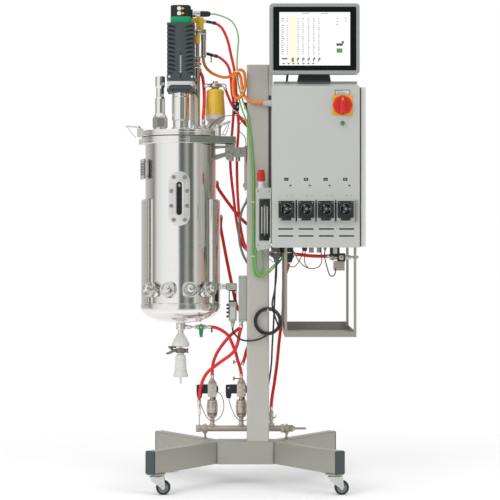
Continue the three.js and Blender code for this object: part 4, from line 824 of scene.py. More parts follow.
class BIOREACTOR_OT_jacket(bpy.types.Operator):
    """Spins the heating jacket with its weld seam, hoop band and pipe nozzles"""
    bl_idname = "bioreactor.jacket"
    bl_label = "Jacket"

    def execute(self, context):
        form = Form("polished_steel", "turned_steel")
        r = 142.0  # the jacket's radius
        outer = [(12.3, 574)] + dish(r, 628, 54, 20.3, 20)
        outer += [(r, 645), (r - 0.6, 648), (r - 2.6, 649.8), (r - 5, 650.2)]
        inner = [(127.3, 650.2), (127.3, 647), (r - 6, 646.6)] + dish(r - 3, 628, 51, 20.3, 20)[::-1] + [(12.3, 577)]
        form.ring(outer + inner, UNIT, 144)
        wrap = [(r - 4, 648), (r, 648), (r, 1010), (r - 0.8, 1014.5), (r - 3.4, 1018.2), (r - 7.6, 1019.8),
                (127.3, 1020), (127.3, 1017), (r - 8, 1016.6), (r - 4, 1010), (r - 4, 648)]
        form.lathe(wrap, UNIT @ turned_by(JACKET_EDGE - 90), 112, 0, 360 - 2 * JACKET_EDGE)
        edge = [(0, -127.2), (-2.2, -127.2), (-2.2, 3.6 - r), (-1.4, 1.2 - r), (0.6, 0.1 - r), (2.6, 0.0 - r),
                (2.6, 3 - r), (0, 4 - r)]
        for side in (-1, 1):
            outline = [(side * x, y) for x, y in edge][::-side]
            form.slab(outline, 648, 1018.4, UNIT @ turned_by(side * JACKET_EDGE))
        self.hoop(form)
        for azimuth, z in ((126, 962), (150, 680)):
            place = outward(azimuth, 0, 140, z)
            form.turned([(11, -2), (9, 2), (9, 7.4), (12, 8), (12, 16), (11.2, 16.8), (6, 17.4),
                         (6, 26)], place, 32, 1)
        place = UNIT @ moved(70, -75, 603) @ turned_by(180, "X")
        form.turned([(12.5, 0), (10, 4), (10, 12), (9, 13.4), (7, 14), (7, 20)], place, 32, 1)
        form.piece("jacket_shell", "jacket", bevel=0.3, sharp=40, slot="polished_steel")
        return {"FINISHED"}

    def hoop(self, form):
        """The steel hoop round the jacket's foot, with a clasp at each end of its front half."""
        form.ring([(141, 630), (142.8, 630.4), (143.2, 631), (143.2, 643.6), (142.8, 644.2), (141, 644.6)], UNIT, 144)
        for azimuth in (-55, 52):
            place = outward(azimuth, 0, 141, 637)
            form.plate(27, 19, 3, 0, 4.6, place, 1, 0.8)
            for x in (-8, 8):
                form.turned([(3.4, 4.4), (3.4, 6.2), (2.6, 7)], place @ moved(x, 0), 20, 1)


class BIOREACTOR_OT_sight_glass(bpy.types.Operator):
    """Cuts the sight glass frame with its dark window, its light glass and eight cap nuts"""
    bl_idname = "bioreactor.sight_glass"
    bl_label = "Sight glass"

    def execute(self, context):
        front = UNIT @ moved(1.6, -149, 1019) @ FRONT
        form = Form("blasted_steel", "turned_steel", "seal", "dark_grey_and_painted_shade")
        outline = rounded_box(75, 191, 37.4, 20)
        form.sheet([outline, rounded_box(17.5, 115, 8.7, 12)], -21, 0, front, 0, 1.6)
        step = rounded_box(42, 148, 20.9, 16)
        form.sheet([step, rounded_box(19.6, 117, 9.7, 12)], -0.2, 1.0, front, 0, 0.45)
        form.sheet([rounded_box(19.6, 117, 9.7, 12), rounded_box(17.4, 115, 8.6, 12)], -3, 0.6, front, 2, 0.2)
        for x, z in ((19.4, 75), (27.4, 26), (27.4, -26), (19.4, -75)):
            for side in (-1, 1):
                place = front @ moved(side * x, z)
                # Each screw stands on a dark disc and shows a dark hex socket: painted shade in its counterbore and
                # socket.
                form.lathe([(0, 0.2), (6.9, 0.2), (6.9, 1.2)], place, 28, 3)
                form.ring([(6.7, 0), (7.6, 0), (7.6, 1.1), (6.7, 1.1)], place, 28, 0)
                form.ring([(2.4, 0.1), (5, 0.1), (5, 3.2), (4.4, 3.8), (2.4, 3.8)], place, 28, 1)
                form.lathe([(2.5, 2.2), (0, 2.2)], place, 6, 3)
        form.piece("sight_glass_ring", "sight_glass_frame", bevel=0.25, sharp=36, slot="brushed_steel")
        pane = Form("sight_window", "turned_steel", "hub_grey")
        pane.sheet([rounded_box(23, 121, 11.4, 12)], -9.8, -4.4, front, 0, 0.2)
        pane.ring([(3.4, -4.6), (5, -4.6), (5, -3.4), (4.4, -3), (3.4, -3.2)], front @ moved(-0.6, 46), 32, 1)
        pane.lathe([(0, -4), (3.5, -4)][::-1], front @ moved(-0.6, 46), 24, 2)
        pane.piece("sight_glass_window", "sight_glass_pane", slot="window")
        return {"FINISHED"}


class BIOREACTOR_OT_lid(bpy.types.Operator):
    """Turns the lid with its hub, ports, plugs, seal and latch blocks"""
    bl_idname = "bioreactor.lid"
    bl_label = "Lid"

    def execute(self, context):
        form = Form("polished_steel", "turned_steel")
        form.ring([(9, 1243.4), (139.4, 1243.4), (141, 1245), (141, 1252.2), (140.5, 1252.8), (140.5, 1254),
                   (141, 1254.6), (141, 1262.4), (139.4, 1264), (43, 1264), (40, 1264.6), (37, 1267.4), (34, 1269),
                   (9, 1269)], UNIT, 144)
        # Plugged ports on the lid: rim x and y, radius, height.
        for x, y, radius, height in ((84, -62, 11, 20), (104, -30, 9, 26), (52, -96, 12, 14), (-92, 74, 12, 20),
                                     (8, 104, 13, 24)):
            place = UNIT @ moved(x, y, 1263)
            form.turned([(radius + 5, 0), (radius + 4.6, 1.6), (radius + 3, 2), (radius + 3, 7), (radius + 2.2, 7.8),
                         (radius, 8), (radius, height - 3), (radius - 1.2, height - 1),
                         (radius - 4, height)], place, 40, 1)
            form.nut(11, height - 0.5, height + 5, place, 1)
        form.pin(8.3, 1263, 1401.6, UNIT @ moved(41, 40), 32)
        for angle in range(15, 360, 30):
            spot = UNIT @ turned_by(angle) @ moved(59, 0, 1263.6)
            form.turned([(4.6, 0), (4.6, 3.4), (3.8, 4.2)], spot, 20, 1)
            form.pin(5.6, -0.2, 0.8, spot, 20, 1)
        for angle in (0, -24):
            side = UNIT @ turned_by(180 if angle == 0 else angle)
            form.block(135, 156, -9, 9, 1243.4, 1274, side, 1)
            form.pin(5, -9, 9, side @ moved(150, 0, 1278) @ turned_by(90, "X"), 24, 1)
            form.block(146, 154, -9, 9, 1272, 1278, side, 1)
        form.piece("lid_plate", "lid", bevel=0.5, sharp=40, slot="polished_steel")
        seal = Form("seal")
        seal.ring([(124, 1240.9), (138.3, 1240.9), (138.9, 1242), (138.3, 1243.1), (124, 1243.1)], UNIT, 96)
        seal.piece("lid_seal", "lid_gasket", slot="seal")
        return {"FINISHED"}


class BIOREACTOR_OT_latches(bpy.types.Operator):
    """Bends the two draw latches with their wire bows"""
    bl_idname = "bioreactor.latches"
    bl_label = "Latches"

    def execute(self, context):
        for side, angle, lift in (("left", 180, 0.0), ("right", -24, -14.0)):
            place = UNIT @ turned_by(angle) @ moved(150, 0, 1278) @ turned_by(lift, "Y")
            form = Form("zinc_plate", "turned_steel")
            for y in (-1, 1):
                form.turned([(5.2, 9.5), (6.2, 10), (6.2, 15.4), (5.2, 16)], place @ turned_by(90 * y, "X"), 24, 1)
            lever = [(0, -13.5, 0), (14, -12.6, 2.2), (30, -9.4, 3.8), (42, -7.6, 4.2), (46, -4.6, 4.4),
                     (47.2, 0, 4.4)]
            lever += [(x, -y, z) for x, y, z in lever[-2::-1]]
            form.tube(carried(place, smoothed(lever, 4)), 2.3, 10)
            bow = [(43, -5.4, 3.4), (38, -7, -4), (27, -10.4, -20), (16, -13, -32), (12.8, -12, -34.6), (12, -8, -35),
                   (12, 0, -35)]
            bow += [(x, -y, z) for x, y, z in bow[-2::-1]]
            form.tube(carried(place, smoothed(bow, 4)), 1.6, 8)
            form.piece("latch_wire_" + side, "latch_bail_" + side, body="latch_" + side, slot="zinc")
        return {"FINISHED"}


# ------------------------------------------------------------------ stirrer drive

MOTOR_HALF = 49.0  # from its axis to a face
MOTOR_LOW, MOTOR_HIGH = 1442.0, 1650.0


def eased_step(x, low, high):
    """From 0 at low to 1 at high, with soft ends."""
    t = min(max((x - low) / (high - low), 0.0), 1.0)
    return t * t * (3 - 2 * t)


RIB_PITCH, RIB_DEPTH = 15.3, 8.5


class BIOREACTOR_OT_motor(bpy.types.Operator):
    """Casts the finned servomotor with its clamp ring, and the encoder on top"""
    bl_idname = "bioreactor.motor"
    bl_label = "Motor"

    def execute(self, context):
        centre = moved(VESSEL_X + 2)
        form = Form("casting", "label_grey", "dark_grey_and_painted_shade")
        self.fins(form, centre)
        for turn in range(4):
            self.face_details(form, centre @ turned_by(90 * turn) @ moved(0, -MOTOR_HALF, 0) @ FRONT)
        # The ring under the motor: a pale plate over a dark adapter with two lugs.
        form.plate(97, 97, 20, 1427, 1441, centre, 1, 1.2)
        form.plate(84, 84, 16, 1402.4, 1427.4, centre, 0, 1.0)
        form.plate(96, 96, 14, 1412, 1424, centre, 0, 1.0)
        for x, y in ((1, 1), (1, -1), (-1, 1), (-1, -1)):
            form.block(x * 40 - 9, x * 40 + 9, y * 40 - 9, y * 40 + 9, 1402.5, 1414, centre)
            spot = centre @ moved(x * 40, y * 40)
            form.pin(5.6, 1413, 1431, spot, 20, 1)
            form.nut(12, 1440.6, 1446, spot, 1)
        form.piece("motor_body", "drive_motor", bevel=0.3, sharp=50, slot="black_metal")
        self.encoder()
        return {"FINISHED"}

    def fins(self, form, place):
        """Four faces whose ribs are deep at the sides and run out towards the middle."""
        half = MOTOR_HALF
        across = [-half + 2 * half * i / 40 for i in range(41)]
        rows = []
        steps = int((MOTOR_HIGH - MOTOR_LOW) / 1.7)
        for j in range(steps + 1):
            z = MOTOR_LOW + (MOTOR_HIGH - MOTOR_LOW) * j / steps
            row = []
            for turn in range(4):
                for u in across[:-1]:
                    side = abs(u)
                    deep = eased_step(side, 9, 30) * (1 - eased_step(side, 42, 46))
                    lean = 5.5 * (1 - eased_step(side, 12, 40))
                    wave = ((MOTOR_HIGH - 6 - z - lean) / RIB_PITCH) % 1.0
                    gap = eased_step(wave, 0.1, 0.45) * (1 - eased_step(wave, 0.56, 0.66))
                    ends = eased_step(MOTOR_HIGH - z, 4, 9) * eased_step(z, MOTOR_LOW + 22, MOTOR_LOW + 30)
                    depth = RIB_DEPTH * gap * deep * ends
                    corner = 0.3 * max(0.0, side - 44.5) ** 1.6
                    point = Vector((u * (1 - 0.01 * max(0.0, side - 46)), -(half - depth - corner), z))
                    row.append(turned_by(90 * turn) @ point)
            rows.append(row)
        count = len(rows[0])
        corners = [c for row in rows for c in row]
        faces = [[j * count + i, j * count + (i + 1) % count, (j + 1) * count + (i + 1) % count, (j + 1) * count + i]
                 for j in range(steps) for i in range(count)]
        faces += [list(range(count))[::-1], [steps * count + i for i in range(count)]]
        form._add(corners, faces, place, 0, True)

    def face_details(self, form, front):
        """The upright slot with its row of screws, and the two lower screws."""
        form.plate(7.4, 100, 2, -0.4, 0.5, front @ moved(0, 1500), 0, 0.2)
        # The dark blocks at the slot's ends and between its screws are painted shade of the groove's depth.
        form.block(-2.6, 2.6, 1535, 1546, 0.3, 0.8, front, 2)
        form.block(-2.6, 2.6, 1452, 1466, 0.3, 0.8, front, 2)
        for i in range(9):
            form.block(-2.8, 2.8, 1471.5 + 7 * i, 1475.5 + 7 * i, 0.2, 1.2, front, 1)
            form.block(-2.3, 2.3, 1475.3 + 7 * i, 1478.5 + 7 * i, 0.2, 0.7, front, 2)
        for x in (-40.5, 40.5):
            form.turned([(4.4, -0.6), (4.4, 1.6), (3.6, 2.3)], front @ moved(x, 1456), 20, 1)

    def encoder(self):
        centre = moved(VESSEL_X + 1)
        form = Form("black_plastic", "green_plastic", "turned_steel", "paper_white", "yellow_plastic", "black_gloss")
        form.sheet([rounded_box(73.5, 73.5, 12, 8)], 1650.2, 1673, centre, 1, 0.8)
        form.sheet([rounded_box(71.5, 71.5, 11, 8)], 1672.8, 1713, centre, 0, 1.2)
        form.sheet([rounded_box(60, 60, 8, 8)], 1712.4, 1715.6, centre, 0, 1.2)
        for x in (-28, 28):
            form.block(x - 1.2, x + 1.2, -36.4, -30, 1674, 1708, centre)
        front = centre @ moved(0, -35.6) @ FRONT
        form.plate(31, 38, 1.5, 0, 0.9, front @ moved(2, 1693), 5, 0.2)
        for z in (1701.8, 1684.4):
            form.pin(7.2, 0.8, 1.3, front @ moved(-5, z), 32, 3)
            form.slab([(4.8, -5.8), (15, 0), (4.8, 5.8)], 0.8, 1.3, front @ moved(0, z), 4)
        plug = centre @ moved(0, 0, 1687) @ turned_by(90, "Y")
        form.plate(30, 30, 5, 33, 42.5, plug, 0, 1)
        form.turned([(11.6, 42), (11.6, 49), (12.6, 50), (12.6, 52), (11.6, 53), (11.6, 57), (12.8, 58), (12.8, 68),
                     (11.8, 70)], plug, 40, 2)
        form.turned([(9.8, 69), (10.2, 70), (10.6, 78), (10, 98), (8.4, 103.5), (5, 106.4)], plug, 32, 0)
        for i in range(4):
            form.ring([(10, 74 + 6 * i), (11, 74.6 + 6 * i), (11, 76.4 + 6 * i), (10, 77 + 6 * i)], plug, 32, 0)
        form.piece("encoder_cap", "motor_encoder", bevel=0.3, sharp=40, slot="black_plastic")


class BIOREACTOR_OT_lid_fittings(bpy.types.Operator):
    """Turns the bearing housing, the condenser, the pressure line with its valve, and the air filter"""
    bl_idname = "bioreactor.lid_fittings"
    bl_label = "Lid fittings"

    def execute(self, context):
        self.housing()
        self.condenser()
        self.pressure_line()
        self.filter()
        return {"FINISHED"}

    def housing(self):
        form = Form("polished_steel", "turned_steel")
        form.turned([(33.4, 1269.2), (33.4, 1275), (32.4, 1276), (28.4, 1276.4), (28.4, 1301), (29, 1302.6),
                     (31.6, 1304), (32.2, 1305.6), (32.2, 1387), (31.4, 1388.4), (31.4, 1401.8)], UNIT, 96)
        for angle in range(30, 360, 60):
            form.pin(2.7, 1275, 1278.6, UNIT @ turned_by(angle) @ moved(30.7), 16, 1)
        form.piece("housing_tube", "bearing_housing", bevel=0.3, sharp=40, slot="polished_steel")

    def condenser(self):
        place = moved(VESSEL_X - 74)
        form = Form("polished_steel", "turned_steel")
        form.turned([(26.6, 1264.3), (26.6, 1268.6), (25.6, 1269.6), (22.4, 1270), (22.4, 1277)], place, 64, 1)
        form.turned([(23.6, 1275.4), (26.4, 1278), (27.2, 1281), (27.2, 1308), (26, 1314.5), (23, 1319)],
                    place @ turned_by(9), 6, 1)
        form.turned([(23.4, 1316), (22.6, 1320), (19.4, 1326), (18.3, 1328.5), (18.3, 1379), (17.6, 1382.6),
                     (15, 1386), (14.3, 1388), (14.3, 1416), (15, 1420), (17.4, 1426), (17.9, 1428.5), (17.9, 1459.4),
                     (17.2, 1461), (15.8, 1461.6)], place, 64)
        form.ring([(18, 1330.4), (18.9, 1330.8), (18.9, 1332.6), (18, 1333)], place, 64)
        form.piece("condenser_tube", "condenser", bevel=0.25, sharp=40, slot="polished_steel")

    def pressure_line(self):
        """The standpipe with its yellow sleeve, sensor tube and clamp block, and the yellow valve head."""
        place = moved(VESSEL_X + 58, 68)
        form = Form("polished_steel", "turned_steel", "valve_yellow", "nickel_brass", "dark_grey_and_painted_shade")
        form.turned([(17, 1264.3), (17, 1271), (16, 1272.4), (12.5, 1273), (12.5, 1282), (10.2, 1284), (10.2, 1500),
                     (12.6, 1502), (12.6, 1506), (10.6, 1507.4), (9, 1510)], place, 48)
        form.nut(25, 1509, 1519, place, 1, 1.2)
        form.turned([(11, 1518), (11, 1533), (12.2, 1534.4), (12.2, 1540), (11, 1541.4), (8, 1542)], place, 40, 1)
        form.pin(7.2, 1541, 1590, place, 32, 1)
        # The yellow sleeve takes the brighter yellow: painted light against the shade behind the motor.
        form.turned([(8.2, 1588), (9, 1589.4), (9, 1619), (8.2, 1621)], place, 40, 2)
        form.plate(40, 20, 3, 1621.4, 1640, place @ moved(12.5), 1, 1.0)
        form.plate(34, 20.8, 2, 1628.6, 1631.6, place @ moved(10), 4, 0.1)
        sensor = place @ moved(22)
        form.turned([(8, 1536.4), (9.6, 1538), (9.6, 1545), (9, 1546), (9, 1598), (10, 1599.4),
                     (10, 1621.4)], sensor, 40, 1)
        start = place @ Vector((27, 0, 1553.4))
        form.tube([start, place @ Vector((34, 0, 1552.6))], 6.4, 6, 3)
        form.tube(carried(place, ((34, 0, 1552.6), (37, 0, 1551.6), (59.6, 0, 1545.1))), [4.6, 5.6, 5.6], 20, 4)
        form.tube(carried(place, ((50, 0, 1548), (50, -2, 1538), (50, -3, 1523))), [2.6, 2.6, 1.8], 12, 3)
        form.ball(place @ Vector((50, -3, 1522)), 2.6, 4, 8, 16)
        form.piece("pressure_pipe", "inlet_pipe", bevel=0.25, sharp=40, slot="polished_steel")

        place = place @ moved(9)
        form = Form("valve_yellow", "nickel_brass", "dark_grey_and_painted_shade")
        # The valve head takes the brighter yellow: painted light against the shade behind the motor.
        form.turned([(12.6, 1640.3), (13.6, 1641.4), (13.6, 1661), (14.6, 1663.4), (14.8, 1666), (14.8, 1680),
                     (13.4, 1683), (10, 1684)], place, 48)
        form.plate(30, 18, 4, 1664, 1682, place @ moved(-19), 0, 2.4)
        for i in range(10):
            form.block(-1, 1, -14.4, -12, 1642, 1660, place @ turned_by(36 * i))
        form.tube(carried(place, ((12, 0, 1671), (24, 0, 1669.4))), 6.6, 6, 1)
        form.tube(carried(place, ((24, 0, 1669.4), (27, 0, 1668.8), (44.6, 0, 1665.7))), [4.6, 5.4, 5.4], 20, 2)
        form.piece("valve_cap", "valve_head", bevel=0.3, sharp=40, slot="yellow_plastic")

    def filter(self):
        """The filter's amber housing over its grey collar, with the wing clamp on its neck."""
        place = moved(VESSEL_X + 124, 22)
        form = Form("amber_housing", "collar_grey", "turned_steel", "nickel_brass")
        form.turned([(16.6, 1264.3), (16.6, 1270), (15.6, 1271), (11.4, 1271.6), (11.4, 1283)], place, 48, 2)
        form.turned([(11.2, 1282), (15, 1290), (21, 1295), (29, 1302), (34.4, 1309), (35.4, 1324.6)], place, 64, 1)
        form.turned([(34.6, 1324), (36, 1325.4), (36, 1331), (35.4, 1333), (31.4, 1401), (32.2, 1404), (31.6, 1409),
                     (29, 1414.4), (24, 1417.4), (15, 1418.4)], place, 64)
        form.turned([(14.6, 1417), (13, 1420), (15.8, 1424.4), (15.8, 1427)], place, 48, 3)
        form.ring([(12, 1424), (21, 1424.6), (22.6, 1427), (22.6, 1436), (20.6, 1438.4), (12, 1439)], place, 48, 2)
        form.turned([(12.4, 1438), (12.4, 1440.4), (9.4, 1442.4), (9.4, 1446.6)], place, 40, 2)
        for side in (-1, 1):
            form.block(side * 21 - 4, side * 21 + 4, -8, 8, 1425, 1438, place, 2)
            wing = [(side * 24, -7, 1432), (side * 30, -9, 1436), (side * 36, -9, 1434), (side * 39, -8, 1429),
                    (side * 36, -7, 1424), (side * 30, -7, 1426), (side * 24, -7, 1431)]
            form.tube(carried(place, smoothed(wing, 3)), 2.6, 10, 2)
        form.tube(carried(place, ((-22, -9, 1431), (0, -17, 1430), (22, -9, 1431))), 3, 10, 2)
        form.piece("filter_housing", "air_filter", bevel=0.25, sharp=40, slot="amber_plastic")


# ------------------------------------------------------------------ outlet and probe transmitter


class BIOREACTOR_OT_outlet(bpy.types.Operator):
    """Turns the bottom outlet valve, its ball valve, the white drip cone and the harvest cup"""
    bl_idname = "bioreactor.outlet"
    bl_label = "Outlet"

    def execute(self, context):
        form = Form("turned_steel", "polished_steel", "nickel_brass", "dark_brown_steel", "brown_wire")
        form.turned([(9.4, 534.6), (10.4, 536), (10.4, 549), (16, 550.6), (17, 552), (17, 558), (15.8, 559),
                     (15.8, 565), (17.2, 566), (17.2, 572), (16.4, 573.3)], UNIT, 64, 1)
        form.pin(5.4, 484, 536, UNIT, 32, 0)
        form.turned([(12, 461), (12, 466), (17, 467), (17.4, 470), (17.4, 481), (16.4, 483.4), (12, 485)], UNIT, 48, 0)
        form.ring([(11, 466), (18.6, 467.6), (18.6, 474), (18.6, 481), (11, 482.4)], UNIT, 48, 3)
        branch = UNIT @ moved(0, 0, 560) @ turned_by(90, "Y")
        form.nut(15, 16, 25, branch @ turned_by(12))
        form.turned([(6.4, 24.6), (7, 26), (7, 36), (5, 39), (4, 40), (4, 51), (5.4, 52)], branch, 32)
        form.nut(14, 51.6, 58, branch)
        form.turned([(6, 57.6), (8.8, 61), (9.4, 66), (9.4, 82), (8.8, 87), (6, 89)], branch, 32, 2)
        form.nut(12.4, 88.4, 95, branch, chamfer=0.6)
        form.pin(4.8, 94.6, 98.2, branch)
        form.pin(3.9, 4, 9.1, UNIT @ moved(74, 0, 560) @ FRONT, 20)
        tag = UNIT @ moved(0, -7) @ FRONT
        form.plate(6, 17, 2, -1, 1, tag @ moved(112, 549), 4, 0.3)
        # The clamp's over-centre arms, spread to the left, and its wing nut on the right.
        for end in ((-52, -3, 464), (-44, -4, 491)):
            arm = smoothed([(-15, -2, 475), (-24, -3, 476), (-34, -4, (476 + end[2]) / 2), end], 4)
            form.tube(carried(UNIT, arm), [5] * (len(arm) - 3) + [4.6, 4, 3], 12, 3)
        form.tube(carried(UNIT, smoothed([(-16, 0, 486), (-30, -2, 489), (-42, -3, 487)], 4)), 3.2, 10, 3)
        form.block(14, 20, -5, 5, 469, 482, UNIT, 3)
        form.tube(carried(UNIT, ((18, 0, 475), (27.6, 0, 475))), 4.4, 6, 3)
        form.block(21, 27.6, -1.8, 1.8, 466, 484, UNIT, 3)
        form.piece("outlet_valve", "drain_valve", bevel=0.25, sharp=40, slot="polished_steel")

        form = Form("green_plastic", "turned_steel")
        place = UNIT @ moved(74, -9.5, 560) @ FRONT
        outline = [(-5.4, -34.6), (-3, -36.2), (3, -36.2), (5.4, -34.6), (7.6, -14), (8.4, -2), (6.6, 6), (3.4, 11),
                   (0, 13), (-3.4, 11), (-6.6, 6), (-8.4, -2), (-7.6, -14)]
        form.sheet([outline], 0.2, 4, place, 0, 0.9)
        form.sheet([[(x * 0.6, y * 0.78 - 3) for x, y in outline]], 3.6, 5, place, 0, 0.5)
        form.pin(6.4, -6, 0.6, place, 32)
        form.nut(7, 4.6, 7.4, place, 1, 0.5)
        form.piece("outlet_lever", "drain_handle", body="drain_lever", bevel=0.3, sharp=50, slot="green_plastic")

        form = Form("white_plastic", "seal")
        form.ring([(6, 540), (9.6, 539.4), (12.6, 535), (22, 517), (30, 501.6), (31.2, 497), (31.4, 491.6),
                   (29, 491.4), (28.6, 498), (22, 512), (9, 534), (6, 535)], UNIT, 64)
        for i in range(16):
            rib = UNIT @ turned_by(22.5 * i)
            form.tube(carried(rib, ((0, -13, 534.6), (0, -22.6, 516.4), (0, -30.2, 501.6), (0, -31, 496))),
                      [0.6, 1.1, 1.2, 0.6], 6)
        form.ring([(29.4, 490.9), (31.6, 491), (31.6, 492.4), (29.4, 492.4)], UNIT, 64, 1)
        form.piece("drip_cone", "drain_cone", bevel=0.2, sharp=50, slot="white_plastic")

        form = Form("white_plastic", "turned_steel")
        form.turned([(26, 381), (27, 382), (27, 388), (25.4, 391.4), (23.6, 397), (21.6, 408), (19.4, 440),
                     (18.4, 455), (17.4, 459.6), (15, 460.1)], UNIT, 64)
        for z in (404, 444):
            form.ring([(18, z), (23.2 - (z - 404) / 12, z + 0.6), (23.2 - (z - 404) / 12, z + 2),
                       (18, z + 2.6)], UNIT, 64)
        form.turned([(1.6, 355.4), (3.1, 357), (3.1, 382)], UNIT, 24, 1)
        form.piece("harvest_cup", "drain_cup", bevel=0.3, sharp=50, slot="white_plastic")
        return {"FINISHED"}


class BIOREACTOR_OT_transmitter(bpy.types.Operator):
    """Builds the probe transmitter: screwed head, open yoke and labelled electronics block"""
    bl_idname = "bioreactor.transmitter"
    bl_label = "Transmitter"

    def execute(self, context):
        form = Form("box_grey", "turned_steel", "dark_grey_and_painted_shade", "label_grey", "nickel_brass", "black_plastic")
        form.plate(39, 38, 4, 693, 718, moved(-50.5), 0, 1.2)
        rod = moved(-70, 0, 706) @ turned_by(-90, "Y")
        form.turned([(6, -2), (6, 3), (9.4, 4), (9.4, 9), (6.4, 10), (6.4, 16), (8.6, 17), (8.6, 24)], rod, 32, 1)
        frame = [(-60, 651), (-32, 651), (-32, 694), (-60, 694)]
        hole = [(-56.6, 656), (-35.4, 656), (-35.4, 690), (-56.6, 690)]
        form.sheet([frame, hole], -19, 19, FRONT, 5, 0.5)
        form.plate(29, 40, 5, 583, 651.6, moved(-46), 0, 1.2)
        form.ring([(13.6, 632), (14.4, 632), (14.4, 633.6), (13.6, 633.6)], moved(-46), 4, 2)
        front = moved(0, -20) @ FRONT
        form.block(-55.4, -36.6, 590, 634, -0.4, 0.5, front, 3)
        form.block(-60.4, -57.4, 600, 640, -0.4, 0.4, front, 2)
        for z in (598, 613, 627, 640):
            knob = moved(-60.4, 0, z) @ turned_by(-90, "Y")
            form.turned([(4, -1), (4, 6.6), (3.2, 7.8)], knob, 24, 5)
        form.turned([(8.4, 583.4), (8.4, 577), (6.4, 575.6), (6.4, 569), (5.2, 562), (4.2, 560.2)], moved(-46), 32, 4)
        form.nut(15.6, 574.6, 582, moved(-46), 4)
        form.piece("transmitter_unit", "transmitter", bevel=0.3, sharp=40, slot="grey_plastic")
        return {"FINISHED"}


# ------------------------------------------------------------------ control cabinet

DOOR = moved(0, -250) @ FRONT  # flat things on the door: x to the right, y up, towards the front
# The middles of the isolator and the pump rotors, across and up the door.
ISOLATOR = (334.6, 1336.5)
PUMPS = [(141.4 + 67.6 * i, 979.7) for i in range(4)]


class BIOREACTOR_OT_door_details(bpy.types.Operator):
    """Adds the door's isolator plate, lamp, plain marks, and painted shade in its hinge gap and vent slots"""
    bl_idname = "bioreactor.door_details"
    bl_label = "Door details"

    def execute(self, context):
        form = Form("label_grey", "yellow_plastic", "lamp_green", "mark_grey", "turned_steel",
                    "dark_grey_and_painted_shade", "roof_sheet")
        x, z = ISOLATOR
        form.sheet([rounded_box(70.6, 70.6, 3), circle(8, 24)], 3.02, 3.26, DOOR @ moved(x, z), 1)
        # A small framed plate with three rows of plain marks over the isolator.
        form.sheet([rounded_box(52, 18.6, 1.5), rounded_box(47, 13.6, 0.8)], 0, 1.2, DOOR @ moved(x, 1380.4), 3)
        form.block(x - 24, x + 24, 1373, 1388, 0, 0.9, DOOR)
        for row in range(3):
            form.block(x - 19, x + 14 - 7 * row, 1376.4 + 4 * row, 1377.6 + 4 * row, 0.8, 1.1, DOOR, 3)
        lamp = DOOR @ moved(334.3, 1273.6)
        form.ring([(6.2, 9.4), (8.4, 9.6), (8.8, 10.2), (8.2, 10.8), (6.2, 10.8)], lamp, 40, 4)
        form.lathe([(6.6, 8), (6.6, 12), (5.4, 14), (2.6, 15), (0, 15.2)], lamp, 40, 2)
        for i, (x, z) in enumerate(PUMPS):
            form.block(x - 7.4, x + 7.4, 1076.8, 1087, 0, 0.5, DOOR, 5)
            for bar in range(i % 2 + 1):
                form.block(x - 3.4, x + 3.4, 1080.6 + 2.8 * bar, 1081.8 + 2.8 * bar, 0.4, 0.6, DOOR)
            form.slab([(x + 11, 1056.8), (x + 20, 1060.4), (x + 11, 1064)], 0, 0.5, DOOR, 5)
            for side in (4, 21):
                form.block(x + side - 1.4, x + side + 1.4, 1026, 1028.6, 0, 0.4, DOOR, 6)
        # A dark strip of painted shade fills the hinge gap beside the door.
        form.block(395.6, 398.4, 851, 1399, -16, -8, DOOR, 5)
        # The roof slopes down to the door's top edge in its own, darker sheet.
        form.slab([(-238, 1404.4), (-192, 1424.5), (199, 1424.5), (199, 1423.4), (-192, 1423.4), (-238, 1402)], 98.4,
                  387.6, Matrix(((0, 0, 1, 0), (1, 0, 0, 0), (0, 1, 0, 0), (0, 0, 0, 1))), 6)
        # Painted shade: dark blocks in the depth of the vent slots.
        for row in (911, 887):
            for i in range(4):
                form.block(139.5 + 69.7 * i - 25.6, 139.5 + 69.7 * i + 25.6, row - 2.2, row + 2.2, -8.8, -6.4, DOOR, 5)
        form.piece("door_fittings", bevel=0.15, slot="painted_grey")
        self.isolator()
        return {"FINISHED"}

    def isolator(self):
        """A rotary isolator: a skirted disc with finger hollows, its raised grip and a yellow pointer."""
        form = Form("red_plastic", "yellow_plastic", "dark_grey_and_painted_shade")
        place = DOOR @ moved(*ISOLATOR, 3.3)
        rim = [(32.8 + 0.7 * math.cos(8 * math.radians(3.75 * i)), math.radians(3.75 * i)) for i in range(96)]
        form.sheet([[(r * math.cos(a), r * math.sin(a)) for r, a in rim]], 0.2, 8, place, 0, 1.2)
        form.lathe([(30.4, 7), (30.4, 10.6), (29.2, 12), (0, 12.6)], place, 64)
        grip = [(-8.6, -27.4), (8.6, -27.4), (9.4, -20), (7.6, 18), (4.4, 26), (0, 28.4), (-4.4, 26),
                (-7.6, 18), (-9.4, -20)]
        form.sheet([grip], 11, 27.6, place, 0, 2.4)
        form.slab([(-3, 16), (3, 16), (2, 22), (0, 24), (-2, 22)], 27.4, 28.1, place, 1)
        form.pin(5.8, -6, 1, place, 24, 2)
        form.piece("isolator_grip", "switch_knob", body="isolator", bevel=0.4, sharp=50, slot="red_plastic")


